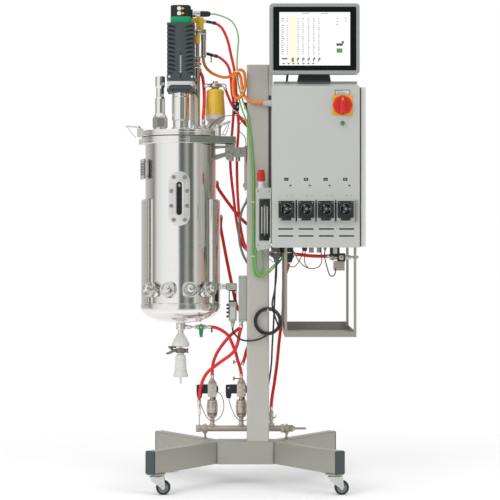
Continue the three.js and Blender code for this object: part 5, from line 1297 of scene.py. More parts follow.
class BIOREACTOR_OT_pumps(bpy.types.Operator):
    """Builds the four peristaltic pump heads in their grey frames, and their rotors"""
    bl_idname = "bioreactor.pumps"
    bl_label = "Pumps"

    def execute(self, context):
        form = Form("grey_plastic", "black_plastic", "dark_grey_and_painted_shade", "label_grey", "turned_steel", "black_gloss")
        low, high = 937.2, 1010.4  # edges of the pumps' frames
        form.block(PUMPS[0][0] - 28, PUMPS[3][0] + 33, low, high, 0.3, 4, DOOR, 2)
        form.block(PUMPS[3][0] + 33.4, PUMPS[3][0] + 41.6, low, high, 0.3, 11, DOOR, 0)
        for x, z in PUMPS:
            form.sheet([rounded_box(61, 73.4, 2), rounded_box(53.4, 66.8, 1.5)], 0.6, 14,
                       DOOR @ moved(x, 973.8), 3, 0.6)
            form.block(x + 28.6, x + 31.4, low + 1, high - 1, 13, 15.4, DOOR, 3)
            face = DOOR @ moved(x, z)
            head = [(-26.4, -30), (-15.4, -30), (-15.4, -39), (15.4, -39), (15.4, -30), (26.4, -30),
                    (26.4, 27.4), (-26.4, 27.4)]
            form.sheet([head, circle(20, 56)], 2, 28.6, face, 1, 0.9)
            for side in (-1, 1):
                form.plate(10, 8, 1, 8, 24, face @ moved(side * 21, -34.6), 3, 0.6)
                form.pin(2.6, 23.6, 25, face @ moved(side * 21, -34.6), 16, 4)
                form.pin(2.4, 28.2, 29.2, face @ moved(side * 21.6, 22), 12, 4)
            # The recess: its floor, a shoulder that squeezes the tube round the top, and the tube itself.
            form.lathe([(20.4, 5.4), (0, 5.4)][::-1], face, 48, 2)
            form.ring([(17.8, 6), (20.2, 6), (20.2, 27.6), (17.8, 26.4)], face, 48, 5)
            bend = [(18.9 * math.cos(math.radians(a)), 18.9 * math.sin(math.radians(a)),
                     25) for a in range(-28, 209, 8)]
            route = [(18, -30, 25)] + bend + [(-18, -30, 25)]
            form.tube(carried(face, route), 1.7, 10, 3)
        form.piece("pump_heads", "pump_bank", bevel=0.3, sharp=40, slot="black_plastic")
        for i, (x, z) in enumerate(PUMPS):
            self.rotor(i + 1, moved(x, -279.5, z) @ FRONT)
        return {"FINISHED"}

    def rotor(self, index, place):
        """A three-armed rotor: rollers under a dark plate, held by screws, on a bright hub."""
        form = Form("black_plastic", "mark_grey", "dark_brown_steel", "hub_grey")
        star = []
        for i in range(72):
            angle = math.radians(5 * i)
            from_arm = (angle + math.pi / 3) % (2 * math.pi / 3) - math.pi / 3
            reach = 11.2 + 4.6 * max(0.0, math.cos(1.5 * from_arm)) ** 4
            star.append((reach * math.cos(angle), reach * math.sin(angle)))
        form.sheet([star], -2.4, -0.2, place, 0, 0.5)
        for i in range(3):
            spot = place @ turned_by(120 * i) @ moved(12.4)
            form.pin(4.4, -13, -2.6, spot, 28, 1)
            form.turned([(2.5, -0.6), (2.5, 0.5), (1.9, 1)], spot, 20, 3)
        form.turned([(5.2, -0.6), (5.2, 0.4), (4.4, 1)], place, 32, 1)
        form.pin(2.6, 0.8, 1.4, place, 24, 3)
        form.pin(3.2, -19.6, -1, place, 24, 2)
        form.piece("pump_rotor_face_%d" % index, "pump_rotor_%d" % index, body="rotor_%d" % index, bevel=0.2,
                   sharp=40, slot="grey_plastic")


class BIOREACTOR_OT_flow_meter(bpy.types.Operator):
    """Builds the gas flow meter behind its window, its needle valve and the regulator above it"""
    bl_idname = "bioreactor.flow_meter"
    bl_label = "Flow meter"

    def execute(self, context):
        centre = moved(67.5, -132)
        form = Form("meter_back", "turned_steel", "dark_grey_and_painted_shade", "label_grey", "paper_white", "mark_grey")
        front = centre @ moved(0, -15) @ FRONT
        # Dark block with a bored tube down its middle, a scale beside it and end blocks.
        form.sheet([rounded_box(36, 144, 2), rounded_box(9.6, 104, 4.8)], -30, 0, front @ moved(0, 944), 0, 0.6)
        form.tube([centre @ Vector((0, -6, z)) for z in (894, 1002)], 4.1, 24, 3)
        form.tube([centre @ Vector((0, -6.2, z)) for z in (897, 999)], 2.2, 16, 4)
        for side in (-1, 1):
            form.block(side * 9.4 - 1.6, side * 9.4 + 1.6, 896, 990, -0.3, 0.4, front, 3)
            for i in range(12):
                form.block(side * 13 - 1.6, side * 13 + 1.6, 899 + 8 * i, 900 + 8 * i, -0.3, 0.3, front, 5)
        for x in (-8.5, 8.5):
            form.turned([(4, 0), (4, 1.4), (3, 2)], front @ moved(x, 1003), 24, 2)
        form.pin(6.4, 0, 1.4, front @ moved(0, 886), 24, 1)
        form.piece("meter_block", "flow_meter", bevel=0.3, slot="window")

        form = Form("black_plastic", "label_grey")
        knob = centre @ moved(0, -17.3, 886) @ FRONT
        form.turned([(8, 0.2), (8, 9.6), (7.2, 10.9)], knob, 32)
        for i in range(18):
            form.block(7.4, 8.3, -0.5, 0.5, 1, 9.4, knob @ turned_by(20 * i))
        form.pin(3, -8, 1, knob, 20)
        form.block(-0.5, 0.5, 2, 6.6, 10.7, 11.1, knob, 1)
        form.piece("meter_knob", "flow_meter_knob", body="needle_valve", bevel=0.2, slot="black_plastic")

        form = Form("cabinet_sheet", "turned_steel", "paper_white", "dark_grey_and_painted_shade")
        place = moved(55.5, -125)
        form.turned([(11.4, 1056.7), (11.4, 1063), (8.6, 1064.4), (8.6, 1067), (10, 1068), (10, 1077),
                     (7.4, 1079.9)], place, 32, 2)
        screw = moved(63.5, -152) @ FRONT
        for x in (-20, 20):
            for z in (1044.6, 854):
                form.turned([(3.4, 0), (3.4, 0.9), (2.6, 1.5)], screw @ moved(x, z), 20, 1)
                form.block(x - 2.2, x + 2.2, z - 0.4, z + 0.4, 1.4, 1.6, screw, 3)
        form.slab([(40, 845), (87, 845), (87, 843), (44, 836), (40, 841)], -152, -118,
                  Matrix(((1, 0, 0, 0), (0, 0, 1, 0), (0, 1, 0, 0), (0, 0, 0, 1))))
        form.piece("meter_fittings", bevel=0.2, slot="painted_grey")

        form = Form("red_plastic")
        form.turned([(12.6, 1080.6), (13.6, 1082), (13.6, 1110), (11.6, 1119), (10.4, 1120.3)], place, 48)
        for i in range(14):
            form.block(13, 14.2, -0.9, 0.9, 1084, 1108, place @ turned_by(360 / 14 * i))
        form.piece("regulator_cap", "regulator_knob", body="regulator", bevel=0.4, sharp=40, slot="red_plastic")
        return {"FINISHED"}


SCREEN = moved(239.7, -225) @ FRONT
PAGE_CELL, PAGE_MIDDLE, PAGE_TOP = 3.455, 314.6, 1702.3  # a cell of the page, its middle column, and height of row 0


class BIOREACTOR_OT_monitor(bpy.types.Operator):
    """Builds the touch monitor with its lit page of plain marks, and its foot"""
    bl_idname = "bioreactor.monitor"
    bl_label = "Monitor"

    def execute(self, context):
        form = Form("screen_glass", "screen_page", "screen_ink", "screen_warm", "screen_green", "screen_dark")
        (x0, z0), (x1, z1) = self.spot(273.4, 70.2), self.spot(356.2, 6.8)
        form.plate(x1 - x0, z1 - z0, 4, -1.6, -0.3, SCREEN @ moved((x0 + x1) / 2, (z0 + z1) / 2), 0, 0.3)
        self.patch(form, 279.4, 12.1, 350.2, 65.4, 1, 0)
        self.patch(form, 289, 16, 296.2, 62.6, 3, 1)
        for row in range(17):
            y = 18.4 + 2.2 * row
            for x, wide in ((281.4, 2.4), (286.8, 1.2), (290.6, 0.5), (293, 0.5), (297.4, 1.5), (302.4, 1.3),
                            (307.8, 1.5), (313.0, 1.5), (318.2, 1.4)):
                finish = 3 if 289 < x < 296 else 2
                if row != 2 or x > 296:
                    self.patch(form, x, y, x + wide * (0.75 + 0.25 * ((row * 7 + int(x)) % 3)), y + 0.7, finish, 2)
        for x in (296.8, 302.2, 307.6, 313.0, 318.2):
            self.patch(form, x, 58, x + 1.0, 61.6, 2, 2)
            self.patch(form, x + 1.2, 57.2, x + 2.2, 60, 5, 2)
        self.patch(form, 282, 58, 287.4, 59.4, 5, 2)
        self.patch(form, 291.6, 57.6, 294, 62, 4, 2)
        for x in (282.8, 287.6, 292.4, 297.2, 302.6, 307.6, 312.2):
            self.patch(form, x, 62.8, x + 2, 64.2, 2, 2)
        for x, y in ((336.6, 18), (336.6, 21), (336.6, 24.2), (345.2, 17.6), (345.2, 20.6)):
            self.patch(form, x, y, x + 1.3, y + 0.9, 2, 2)
        self.patch(form, 336.4, 43.4, 342.8, 45.8, 5, 2)
        self.patch(form, 341.6, 41, 344, 43.6, 2, 2)
        self.patch(form, 336.6, 48.4, 342.4, 52.8, 4, 2)
        for x, y in ((289, 14.2), (302, 13.2), (321, 13.2)):
            self.patch(form, x, y, x + 7, y + 0.5, 3 if x < 300 else 2, 2)
        form.piece("monitor_page", body="screen", slot="window")
        form = Form("black_plastic", "dark_grey_and_painted_shade")
        for x, z in ((-128, -110), (128, -110), (-128, 110), (128, 110)):
            form.pin(3.6, -46.4, -44.9, SCREEN @ moved(x, 1568.7 + z), 16)
        # The rear vent slots are dark blocks of painted shade.
        for i in range(9):
            form.block(-60 + 15 * i - 2.4, -60 + 15 * i + 2.4, 1590, 1640, -46.3, -45.2, SCREEN, 1)
        form.piece("monitor_rear_vents", body="screen", bevel=0.2, slot="grey_plastic")
        self.foot()
        return {"FINISHED"}

    def spot(self, across, down):
        """A place on the glass, from its cell across and down the page."""
        return (across - PAGE_MIDDLE) * PAGE_CELL, PAGE_TOP - down * PAGE_CELL

    def patch(self, form, x0, y0, x1, y1, finish, layer):
        (a, high), (b, low) = self.spot(x0, y0), self.spot(x1, y1)
        form.slab([(a, low), (b, low), (b, high), (a, high)], -0.3, 0.05 + 0.1 * layer, SCREEN, finish)

    def foot(self):
        """Dark foot block under the monitor, ribbed, on its base plate."""
        form = Form("black_plastic", "turned_steel", "casting")
        centre = moved(239.7, -160, 1424.7)
        form.plate(118, 87, 6, 0, 4, centre @ moved(0, 14.5), 2, 0.8)
        place = centre @ moved(0, -29) @ FRONT
        form.slab([(-58, 3.6), (58, 3.6), (54, 24), (53, 27), (-53, 27), (-54, 24)], -17, -1, place)
        for z in (9, 15, 21):
            form.block(-52, 52, z, z + 1.6, -1.2, -0.2, place, 2)
        for x in (-50, 50):
            for y in (-20, 48):
                form.turned([(4, 4), (4, 6.6), (3, 7.2)], centre @ moved(x, y), 20, 1)
        form.slab([(-14, 3), (44, 3), (12, 70), (-8, 70)], -24.6, 24.6, centre @ turned_by(90) @ turned_by(90, "X"), 2)
        form.tube([centre @ Vector((x, 0, 76)) for x in (-24.8, 24.8)], 11, 40, 2)
        form.tube([centre @ Vector((x, 0, 76)) for x in (-36, 36)], 5, 24, 1)
        form.piece("monitor_foot", "monitor_stand", bevel=0.5, sharp=40, slot="black_metal")


# ------------------------------------------------------------------ stand

LEG_ANGLE = math.radians(51.5)
CASTOR_X, CASTOR_Y = 306, 263  # where the castors' swivels stand, from the middle
WHEEL_RADIUS, WHEEL_TRAIL = 25, 25
CORNERS = {"front_left": (-1, -1), "front_right": (1, -1), "rear_left": (-1, 1), "rear_right": (1, 1)}


class BIOREACTOR_OT_stand_fittings(bpy.types.Operator):
    """Adds the legs' end caps, the castors' tyres and hubs, and the column's and arm's fittings"""
    bl_idname = "bioreactor.stand_fittings"
    bl_label = "Stand fittings"

    def execute(self, context):
        for corner, (x, y) in CORNERS.items():
            self.end_cap(corner, x, y)
            self.wheel(corner, moved(CASTOR_X * x + WHEEL_TRAIL, CASTOR_Y * y, WHEEL_RADIUS) @ turned_by(90, "X"))
        self.junction_box()
        self.arm_fittings()
        return {"FINISHED"}

    def end_cap(self, corner, x, y):
        turn = math.degrees(math.atan2(x * math.cos(LEG_ANGLE), -y * math.sin(LEG_ANGLE)))
        place = moved(97 * x, 0, 112) @ turned_by(turn) @ turned_by(90, "X")
        form = Form("end_cap")
        form.plate(40.8, 80.8, 5.4, 361.4, 364, place, 0, 0.4)
        form.plate(39.6, 79.6, 5, 363, 368.6, place, 0, 1.4)
        form.piece("end_cap_" + corner, bevel=0.4, slot="black_plastic")

    def wheel(self, corner, place):
        form = Form("tyre", "hub_grey")
        form.ring([(18, -9), (21.5, -9.8), (24, -8.6), (24.9, -5.4), (24.9, 5.4), (24, 8.6), (21.5, 9.8),
                   (18, 9)], place, 64)
        form.ring([(4.7, -9.4), (8, -9.4), (8.6, -6), (16.6, -5.4), (18.2, -8), (18.2, 8), (16.6, 5.4), (8.6, 6),
                   (8, 9.4), (4.7, 9.4)], place, 48, 1)
        form.piece("castor_wheel_" + corner, "caster_wheel_" + corner, body="wheel_" + corner, bevel=0.3,
                   sharp=50, slot="tyre")
        # The fork's axle nuts and the raised ball race of the swivel, on the swivelling body.
        x, y = CASTOR_X * CORNERS[corner][0], CASTOR_Y * CORNERS[corner][1]
        form = Form("turned_steel", "zinc_plate")
        for side in (-1, 1):
            form.nut(11, 14.4, 18.4, place if side > 0 else place @ turned_by(180, "X"), chamfer=0.7)
        form.ring([(20, 57.4), (22.8, 58), (23, 60.4), (22.8, 63), (20, 63.6)], moved(x, y), 48, 1)
        form.piece("castor_axle_nuts_" + corner, body="caster_" + corner, bevel=0.2, slot="zinc")

    def junction_box(self):
        form = Form("box_grey", "turned_steel", "mark_grey")
        place = moved(-9.2)
        form.plate(30.2, 63.2, 3.4, 581.4, 744.6, place, 0, 0.9)
        front = moved(-9.2, -31.6) @ FRONT
        form.block(-15.2, 15.2, 736.2, 737.2, -40, 0.2, front, 2)
        form.block(-15.2, 15.2, 589, 590, -40, 0.2, front, 2)
        for x in (-10.6, 10.6):
            for z in (741, 585.4):
                form.pin(2.6, -0.4, 0.8, front @ moved(x, z), 20, 1)
        for y in (-20, 0, 20):
            form.turned([(7.6, 581.8), (7.6, 576), (6.2, 574), (6.2, 571.4)], moved(-15, y), 24, 1)
        form.piece("junction_box_cover", bevel=0.4, slot="grey_plastic")
        form = Form("dark_grey_and_painted_shade")
        form.block(84.4, 91, -40.4, -38.2, 884, 1390)
        form.piece("rail_gap", slot="black_metal")

    def arm_fittings(self):
        """The arm's eye bolt, its clamp screws and the hose clips under it."""
        form = Form("turned_steel", "steel_along_x", "dark_grey_and_painted_shade")
        eye = moved(-58, -30, 1172) @ FRONT
        form.ring([(6.4, -0.2), (13.6, -0.2), (13.6, 3.4), (6.4, 3.4)], eye, 40, 1)
        # A dark disc of painted shade fills the eye's hole.
        form.lathe([(0, -0.1), (6.6, -0.1)][::-1], eye, 32, 2)
        for x, z in ((-48, 1190), (-24, 1190), (-60, 1198)):
            bolt = moved(x, -30, z) @ FRONT
            form.nut(10, 0, 4.6, bolt)
        for z in (1070, 1195):
            for y in (-24, 24):
                form.nut(11, 0, 5, moved(-4, y, z) @ turned_by(-90, "Y"))
        for x in (-50, -27):
            form.pin(8.2, 1157.4, 1173, moved(x, 12), 32)
        form.piece("arm_fittings", bevel=0.25, sharp=40, slot="brushed_steel")


# ------------------------------------------------------------------ condensate manifold

HEADER = (66.6, 187.2)  # its axis: y and z
TRAP_PITCH = 106  # from one trap to the next


class BIOREACTOR_OT_manifold(bpy.types.Operator):
    """Builds the header pipe on its pins, two solenoid valves over bulb filters, the gauge stem and the feed"""
    bl_idname = "bioreactor.manifold"
    bl_label = "Manifold"

    def execute(self, context):
        y, z = HEADER
        form = Form("nickel_brass", "turned_steel", "dark_grey_and_painted_shade", "black_plastic", "polished_steel")
        along = moved(0, y, z) @ turned_by(90, "Y")
        form.turned([(12, -180), (13, -179), (13, -163), (11, -161), (11, -158), (15, -157), (15, -140), (11.2, -138),
                     (11.2, 131)], along, 48, 0)
        form.nut(27, 128, 142, along, chamfer=1.4)
        form.turned([(11, 141), (11, 149), (13, 150), (13, 158), (10, 160)], along, 40)
        form.nut(23, 160, 174, along @ turned_by(14), chamfer=1.2)
        form.turned([(8.6, 173), (7.4, 180), (4.4, 181), (4.4, 220.6)], along, 32)
        for x in (-147, 150):
            place = moved(x, y)
            form.turned([(8, 152.4), (8, 155), (4.6, 156), (4.6, 168), (9.6, 173), (9.6, 180)], place, 32, 0)
            form.ring([(10.4, -5), (15, -5), (15, 5), (10.4, 5)], along @ moved(0, 0, x), 40, 0)
            form.turned([(4.6, 198), (4.6, 203), (3, 204)], place, 6, 1)
        self.gauge(form)
        feed = moved(94, y)
        form.nut(19, 196, 206, feed, chamfer=1)
        form.turned([(6.6, 205), (6.6, 214), (8, 216), (8, 236), (8.6, 238), (8.6, 246), (6.2, 249),
                     (6.2, 256.2)], feed, 32)
        form.tube(carried(feed, ((6, -6, 226), (15, -10, 228), (19, -11, 238))), [2.6, 2.6, 2], 10, 1)
        for x in (-121, TRAP_PITCH - 121):
            self.trap(form, moved(x, y))
        form.piece("condensate_header", "manifold", bevel=0.3, sharp=40, slot="polished_steel")
        return {"FINISHED"}

    def gauge(self, form):
        """The thin stem on the header's left end, with the clear adapter that takes its hose."""
        stem = [(-168, 62.6, 190), (-168, 56, 206), (-168, 48, 222), (-168, 44, 238)]
        form.tube(smoothed(stem, 4), 2.3, 12, 1)
        place = moved(-168, 44)
        form.turned([(3, 236), (5.6, 240), (5.6, 262), (4.4, 264), (6, 266), (6, 272), (5, 274),
                     (5, 280)], place, 24, 4)

    def trap(self, form, place):
        """A bulb filter with rings round it, and over it the valve body between its black coils."""
        form.turned([(12, 196), (12, 201), (8.8, 203), (8.8, 226), (13, 228), (16.4, 232), (18.4, 240), (20.2, 250),
                     (20.4, 262), (19.6, 274), (18.2, 284), (18.2, 290), (15, 292), (9.4, 293), (8.6, 296),
                     (8.6, 303), (12, 304)], place, 48)
        for z, r in ((238, 18.4), (252, 20.8), (266, 20.8), (280, 19.4)):
            form.ring([(15, z), (r, z + 0.4), (r + 0.6, z + 1.2), (r, z + 2), (15, z + 2.4)], place, 48)
        form.block(6, 13, -7, 4, 294, 301, place, 2)
        # The valve body, in front of the round coil case, with four screws.
        form.plate(33, 50, 5, -19, 19.4, place @ moved(0, 0, 329) @ turned_by(90, "X"), 0, 1.6)
        for z in (338, 318):
            for x in (-11, 11):
                form.turned([(3.6, 19), (3.6, 21), (2.6, 21.8)], place @ moved(x, 0, z) @ FRONT, 16, 1)
        form.tube([place @ Vector((0, a, 330)) for a in (-12, 12)], 22.4, 48, 3)
        form.turned([(14, 352), (14, 356), (11, 360), (11, 364), (6.6, 366), (6.6, 372.2)], place, 32)
        form.nut(19, 356, 364, place, chamfer=1)
        form.plate(28, 32, 3, -13, 13, place @ moved(-30, 0, 331) @ turned_by(90, "X"), 3, 1.0)
        form.plate(23, 30, 3, -12, 12, place @ moved(-45.6, 0, 331) @ turned_by(90, "X"), 3, 1.0)
        form.plate(20, 42, 3, -10.6, 10.6, place @ moved(-46.4, 0, 323.6) @ turned_by(90, "X"), 3, 1.4)
        form.pin(8.2, 297, 304, place @ moved(-46.4), 24, 3)
        form.pin(2.6, 10.4, 12.4, place @ moved(-46.4, 0, 336) @ FRONT, 16, 1)


# ------------------------------------------------------------------ smaller hoses, cables and wires

# Finish, slot, diameter in millimetres and route of each.
LINES = {
    "jacket_return_hose": ("red_hose", "red_hose", 12, [
        (-114, 93, 1086), (-104, 100.8, 1085), (-102.2, 103, 1067.7), (-78.7, 101, 1031), (-53, 98, 996.1),
        (-31, 95, 968.6), (-9, 88, 944.7), (9.3, 78, 928.1), (23.9, 70, 913.5), (30, 66, 905), (40, 60, 884),
        (45, 50, 874), (45, 41.5, 872)]),
    "jacket_supply_hose": ("red_hose", "red_hose", 12, [
        (-98.7, 97.6, 962), (-90, 104, 960.5), (-91.2, 104, 924.7), (-82.4, 102, 873.4), (-72.1, 98, 818.4),
        (-61.7, 90, 767.3), (-50.9, 76, 716.5), (-39.8, 60, 666), (-30.6, 50, 630), (-18, 42, 610)]),
    "vent_hose": ("red_hose", "red_hose", 12, [
        (-168, 84, 1500), (-166, 83, 1489), (-157.5, 66, 1470.8), (-150.3, 30, 1427.1), (-147.6, -10, 1376.4),
        (-149.4, -34, 1331.3), (-150.4, -50, 1308.5), (-149, -60, 1296), (-149, -62, 1289)]),
    "exhaust_hose": ("red_hose", "red_hose", 10, [
        (-75, 18, 1426), (-71, 21, 1415), (-63, 28, 1394.3), (-52.2, 36, 1369.7), (-42, 44, 1352), (-38, 48, 1344)]),
    "column_hose": ("red_hose", "red_hose", 11, [
        (-34, 44, 1340), (-25.4, 38, 1324.6), (-12.4, 36, 1308.1), (0.6, 44, 1292.8), (14, 52, 1280),
        (30, 56, 1262), (42, 53, 1245), (45, 41.5, 1240)]),
    "earth_lead_pair": ("earth_green", "green_cable", 5.6, [
        (-26, -27, 1396), (-21.5, -30, 1374), (-11, -38, 1338), (0, -46, 1308), (10.4, -45, 1266),
        (18.6, -45, 1194), (24.8, -45, 1100), (25.8, -45, 1016), (26.6, -45, 891), (25.8, -45, 820),
        (28.6, -45, 773), (38, -48, 744), (54, -54, 740), (70, -62, 747), (88, -62, 761), (106, -58, 779),
        (122, -55, 795), (131, -52, 808), (133, -48, 822)]),
    "valve_cable": ("black_cable", "black_cable", 6.5, [
        (112, 50, 811), (112, 50, 797), (109.6, 50, 746.2), (107.4, 51, 691.7), (104.9, 53, 633.5),
        (102, 56, 564.3), (97.7, 60, 491.3), (93.8, 64, 414.6), (83.6, 66, 345.2), (74.9, 66, 290.6), (66, 66, 205)]),
    "instrument_cable": ("grey_cable", "grey_plastic", 9, [
        (45, 41.5, 1072), (44, 51, 1070), (32, 57, 1058), (10, 56, 1032), (2.8, 53, 1011.5), (-10.3, 46, 985.9),
        (-19.7, 40, 949.5), (-23.3, 38, 909.6), (-20.4, 40, 862.5), (-9.5, 46, 822.5), (3.9, 54, 795.2),
        (16, 56, 775), (34, 57, 752), (44, 51, 742), (45, 41.5, 740)]),
    "monitor_cable": ("black_cable", "black_cable", 8, [
        (146, -150, 1425), (146, -150, 1433), (147, -153, 1443), (149, -160, 1455), (152, -170, 1468)]),
    "underside_hose": ("red_hose", "red_hose", 12, [
        (169.6, -100, 823), (185, -100, 822.4), (205, -100, 820), (228, -100, 817.4), (252, -100, 816.2),
        (276, -100, 816), (299.5, -100, 816.4)]),
    "coil_wire_1": ("brown_wire", "black_cable", 3.2, [
        (162.8, -118, 847.9), (175.1, -120, 823.9), (189.2, -120, 799.3), (210.3, -120, 779.9), (235, -120, 772.5),
        (259.7, -120, 779.9), (268.8, -120, 795.7), (267.5, -119, 823.9), (263.3, -118, 847.9)]),
    "coil_wire_2": ("brown_wire", "black_cable", 3.2, [
        (148.9, -112, 793.5), (161.2, -114, 778.7), (175.3, -114, 780.8), (189.4, -114, 799.2), (200, -114, 820.3),
        (207.1, -112, 847.8)]),
    "coil_wire_3": ("brown_wire", "black_cable", 3.2, [
        (215.1, -124, 847.9), (209.5, -125, 824), (208.1, -125, 799.3), (215.8, -124, 781), (227.8, -123, 771.8)]),
    "coil_wire_4": ("brown_wire", "black_cable", 4, [
        (282.5, -122, 847.9), (279.2, -124, 816.9), (287.6, -124, 778.2), (298.3, -123, 749.3),
        (308.9, -121, 745.4), (317.1, -119, 757), (317.6, -116, 773.1)]),
    "gas_wire": ("grey_cable", "black_cable", 2.6, [
        (50, -134, 850), (58.8, -130, 834.5), (72.9, -124, 816.9), (87.2, -112, 804.1), (99.7, -96, 795.4),
        (107.1, -76, 793.7)]),
    "trap_wire_1": ("brown_wire", "black_cable", 2.6, [
        (-166.9, 64, 301), (-163.9, 60, 283.9), (-155.6, 50, 259.5), (-143, 41, 235.1), (-126.2, 38, 218.8),
        (-106.6, 38, 219.5), (-88.6, 42, 235), (-79.3, 50, 259.5), (-80.2, 58, 287.7), (-89, 63, 309.1),
        (-101.4, 66, 321.2)]),
    "probe_wire_lid": ("brown_wire", "black_cable", 2.8, [
        (-128.9, -80, 1270.7), (-114.7, -80, 1288.4), (-93.6, -70, 1305.2), (-68.9, -60, 1314.9),
        (-40.5, -50, 1317.5), (-19.1, -46, 1314.6), (-4.8, -42, 1305.6), (5.9, -30, 1288.7)]),
    "probe_wire_column": ("brown_wire", "black_cable", 2.8, [
        (3.7, -36, 1302.5), (-15.5, -44, 1293.7), (-23.4, -46, 1278.5), (-21.6, -46, 1262.4), (-11.2, -46, 1252.5),
        (-0.5, -44, 1237.6), (2.3, -42, 1202), (3.7, -38, 1166.5), (5.9, -34, 1145.2)]),
    "drain_link_hose": ("red_hose", "red_hose", 12, [
        (45, 41.5, 522), (44, 52, 520), (32, 59, 508), (14, 60, 492), (4.2, 62, 473), (-3.1, 62, 443.8),
        (-12, 64, 418)]),
}


class BIOREACTOR_OT_small_lines(bpy.types.Operator):
    """Runs the jacket, vent and drain hoses and the thin cables round the vessel and under the cabinet"""
    bl_idname = "bioreactor.small_lines"
    bl_label = "Small hoses and wires"

    def execute(self, context):
        sizes = context.scene.bioreactor_lines
        finish, slot, diameter, points = LINES["trap_wire_1"]
        twin = {"trap_wire_2": (finish, slot, diameter, [(x + TRAP_PITCH, y, z) for x, y, z in points])}
        for name, (finish, slot, diameter, points) in {**LINES, **twin}.items():
            route = smoothed(points, sizes.steps if diameter > 5 else 4)
            form = Form(finish)
            form.tube(route, diameter / 2, 18 if diameter > 5 else 10)
            line = form.piece(name, slot=slot)
            pieces = []
            if finish == "red_hose" and name != "column_hose":
                sleeves = Form("turned_steel")
                hose_ferrules(sleeves, points, diameter / 2 + 1, 11)
                pieces = [sleeves.piece(name + "_sleeves", bevel=0.3, slot="brushed_steel")]
            declare_line(route)
        self.clips()
        self.underside()
        return {"FINISHED"}

    def clips(self):
        """Ties on the hank and the earth leads, the hose clamp, glands and the drain valves' handles."""
        form = Form("white_tie", "black_plastic", "dark_grey_and_painted_shade", "turned_steel", "brown_wire")
        for x, y, z, wide, deep in ((27.4, -46, 1008, 17, 9), (27.6, -46, 815, 17, 9), (-10.4, -58, 1404, 15, 25),
                                    (-28, -58, 1472, 19, 27)):
            box, hole = rounded_box(wide, deep, 3), rounded_box(wide - 2, deep - 2, 2.4)
            form.sheet([box, hole], -2.2, 2.2, moved(x, y, z), 0, 0.3)
        form.plate(21, 42, 4, 1346, 1373, moved(-33, 58), 1, 1.2)
        form.plate(15, 30, 4, 1331, 1347, moved(-32, 56), 2, 1.0)
        for x, z in ((-38, 1366), (-28, 1356), (-35, 1339), (-27, 1335)):
            form.nut(8, 0, 5, moved(x, 37 if z > 1347 else 41, z) @ FRONT, 3, 0.6)
        form.block(-4, 9.2, -34, -12, 1342, 1366, finish=1)
        for z in (429, 369):
            form.tube(((-18, 62, z), (-30, 60, z), (-42, 58, z + 1)), 2, 10, 4)
            form.tube(((-42, 58, z - 7), (-42, 58, z + 8)), 2.4, 10, 4)
        # The glands on the column's rear: height, and radius of the line that goes in.
        for z, radius in ((1240, 8), (1072, 7), (872, 9), (740, 7), (522, 9)):
            gland = moved(45, 39.6, z) @ turned_by(-90, "X")
            form.nut(radius * 2.2, 0, 5, gland, 3)
            form.turned([(radius + 0.6, 4.6), (radius + 0.6, 12), (radius - 1, 13)], gland, 24, 3)
        form.piece("line_clips", bevel=0.3, sharp=40, slot="black_plastic")

    def underside(self):
        """The fittings under the cabinet: hose blocks, glands, a small solenoid valve and its outlet."""
        form = Form("brown_wire", "black_plastic", "nickel_brass", "turned_steel", "mark_grey",
                    "label_grey", "dark_grey_and_painted_shade")
        for y in (50, 72):
            form.block(93.6, 134.4, y - 9.4, y + 9.4, 811.6, 851.8, finish=0)
            elbow = moved(84, y, 824) @ turned_by(90, "Y")
            form.nut(17, 0, 10, elbow, 2, 1)
            for x in (103, 114, 125):
                form.nut(9, 0, 3, moved(x, y - 9.4, 842) @ FRONT, 3, 0.6)
        form.block(93, 128, 36, 40.6, 826, 838, finish=2)
        for x, y, z, radius, finish in ((111, -62, 795, 12.5, 4), (133, -45, 828, 12.5, 1), (157, -100, 795, 12.6, 1),
                                        (160, 182, 798, 12.5, 1), (236, -40, 834, 9.6, 1), (264, -40, 834, 9.6, 1),
                                        (211, -60, 834, 12, 1), (284, -60, 838, 7, 2)):
            place = moved(x, y, z)
            form.turned([(radius * 0.62, -0.4), (radius * 0.8, 8), (radius * 0.84, min(12, 850 - z)),
                         (radius, min(13, 850.4 - z)), (radius, 851.6 - z)], place, 32, finish)
            if z < 820:
                form.nut(radius * 2.05, 15, 26, place, finish)
                form.ring([(radius - 1, 32), (radius + 0.6, 32.4), (radius + 0.6, 35),
                           (radius - 1, 35.4)], place, 32, 3)
        coil = moved(0, -116.6) @ FRONT
        form.block(299.4, 332.6, 817.4, 851.8, -33.4, 0, coil, 1)
        form.block(309, 324, 825, 846, -0.2, 1.2, coil, 5)
        form.block(300, 332, 847, 850, -0.2, 0.8, coil, 6)
        form.block(325.4, 352.6, 797.4, 826.6, -29.8, 3, coil, 6)
        form.sheet([circle(9.2, 32)], 2.6, 5, coil @ moved(339, 812), 2, 0.6)
        form.nut(8, 4.6, 7, coil @ moved(339, 812), 3, 0.6)
        body = [(311.4, 772), (318, 765.4), (350.6, 765.4), (350.6, 800.6), (318, 800.6), (311.4, 794)]
        form.slab(body, -29, -4, coil, 2)
        along = moved(0, -100, 812) @ turned_by(90, "Y")
        form.turned([(7, 297), (8.4, 298), (8.4, 303)], along, 24, 3)
        form.nut(19, 303, 312, along, 2, 1)
        form.pin(8, 311, 326, along, 24, 2)
        form.turned([(8.4, 352), (8.4, 371.6), (5.4, 373), (5.4, 389), (3.6, 390), (3.6, 394), (5.6, 395),
                     (5.6, 400.4)], along, 32, 3)
        form.piece("underside_fittings", bevel=0.3, sharp=40, slot="black_plastic")


# ------------------------------------------------------------------ solids that keep their shape

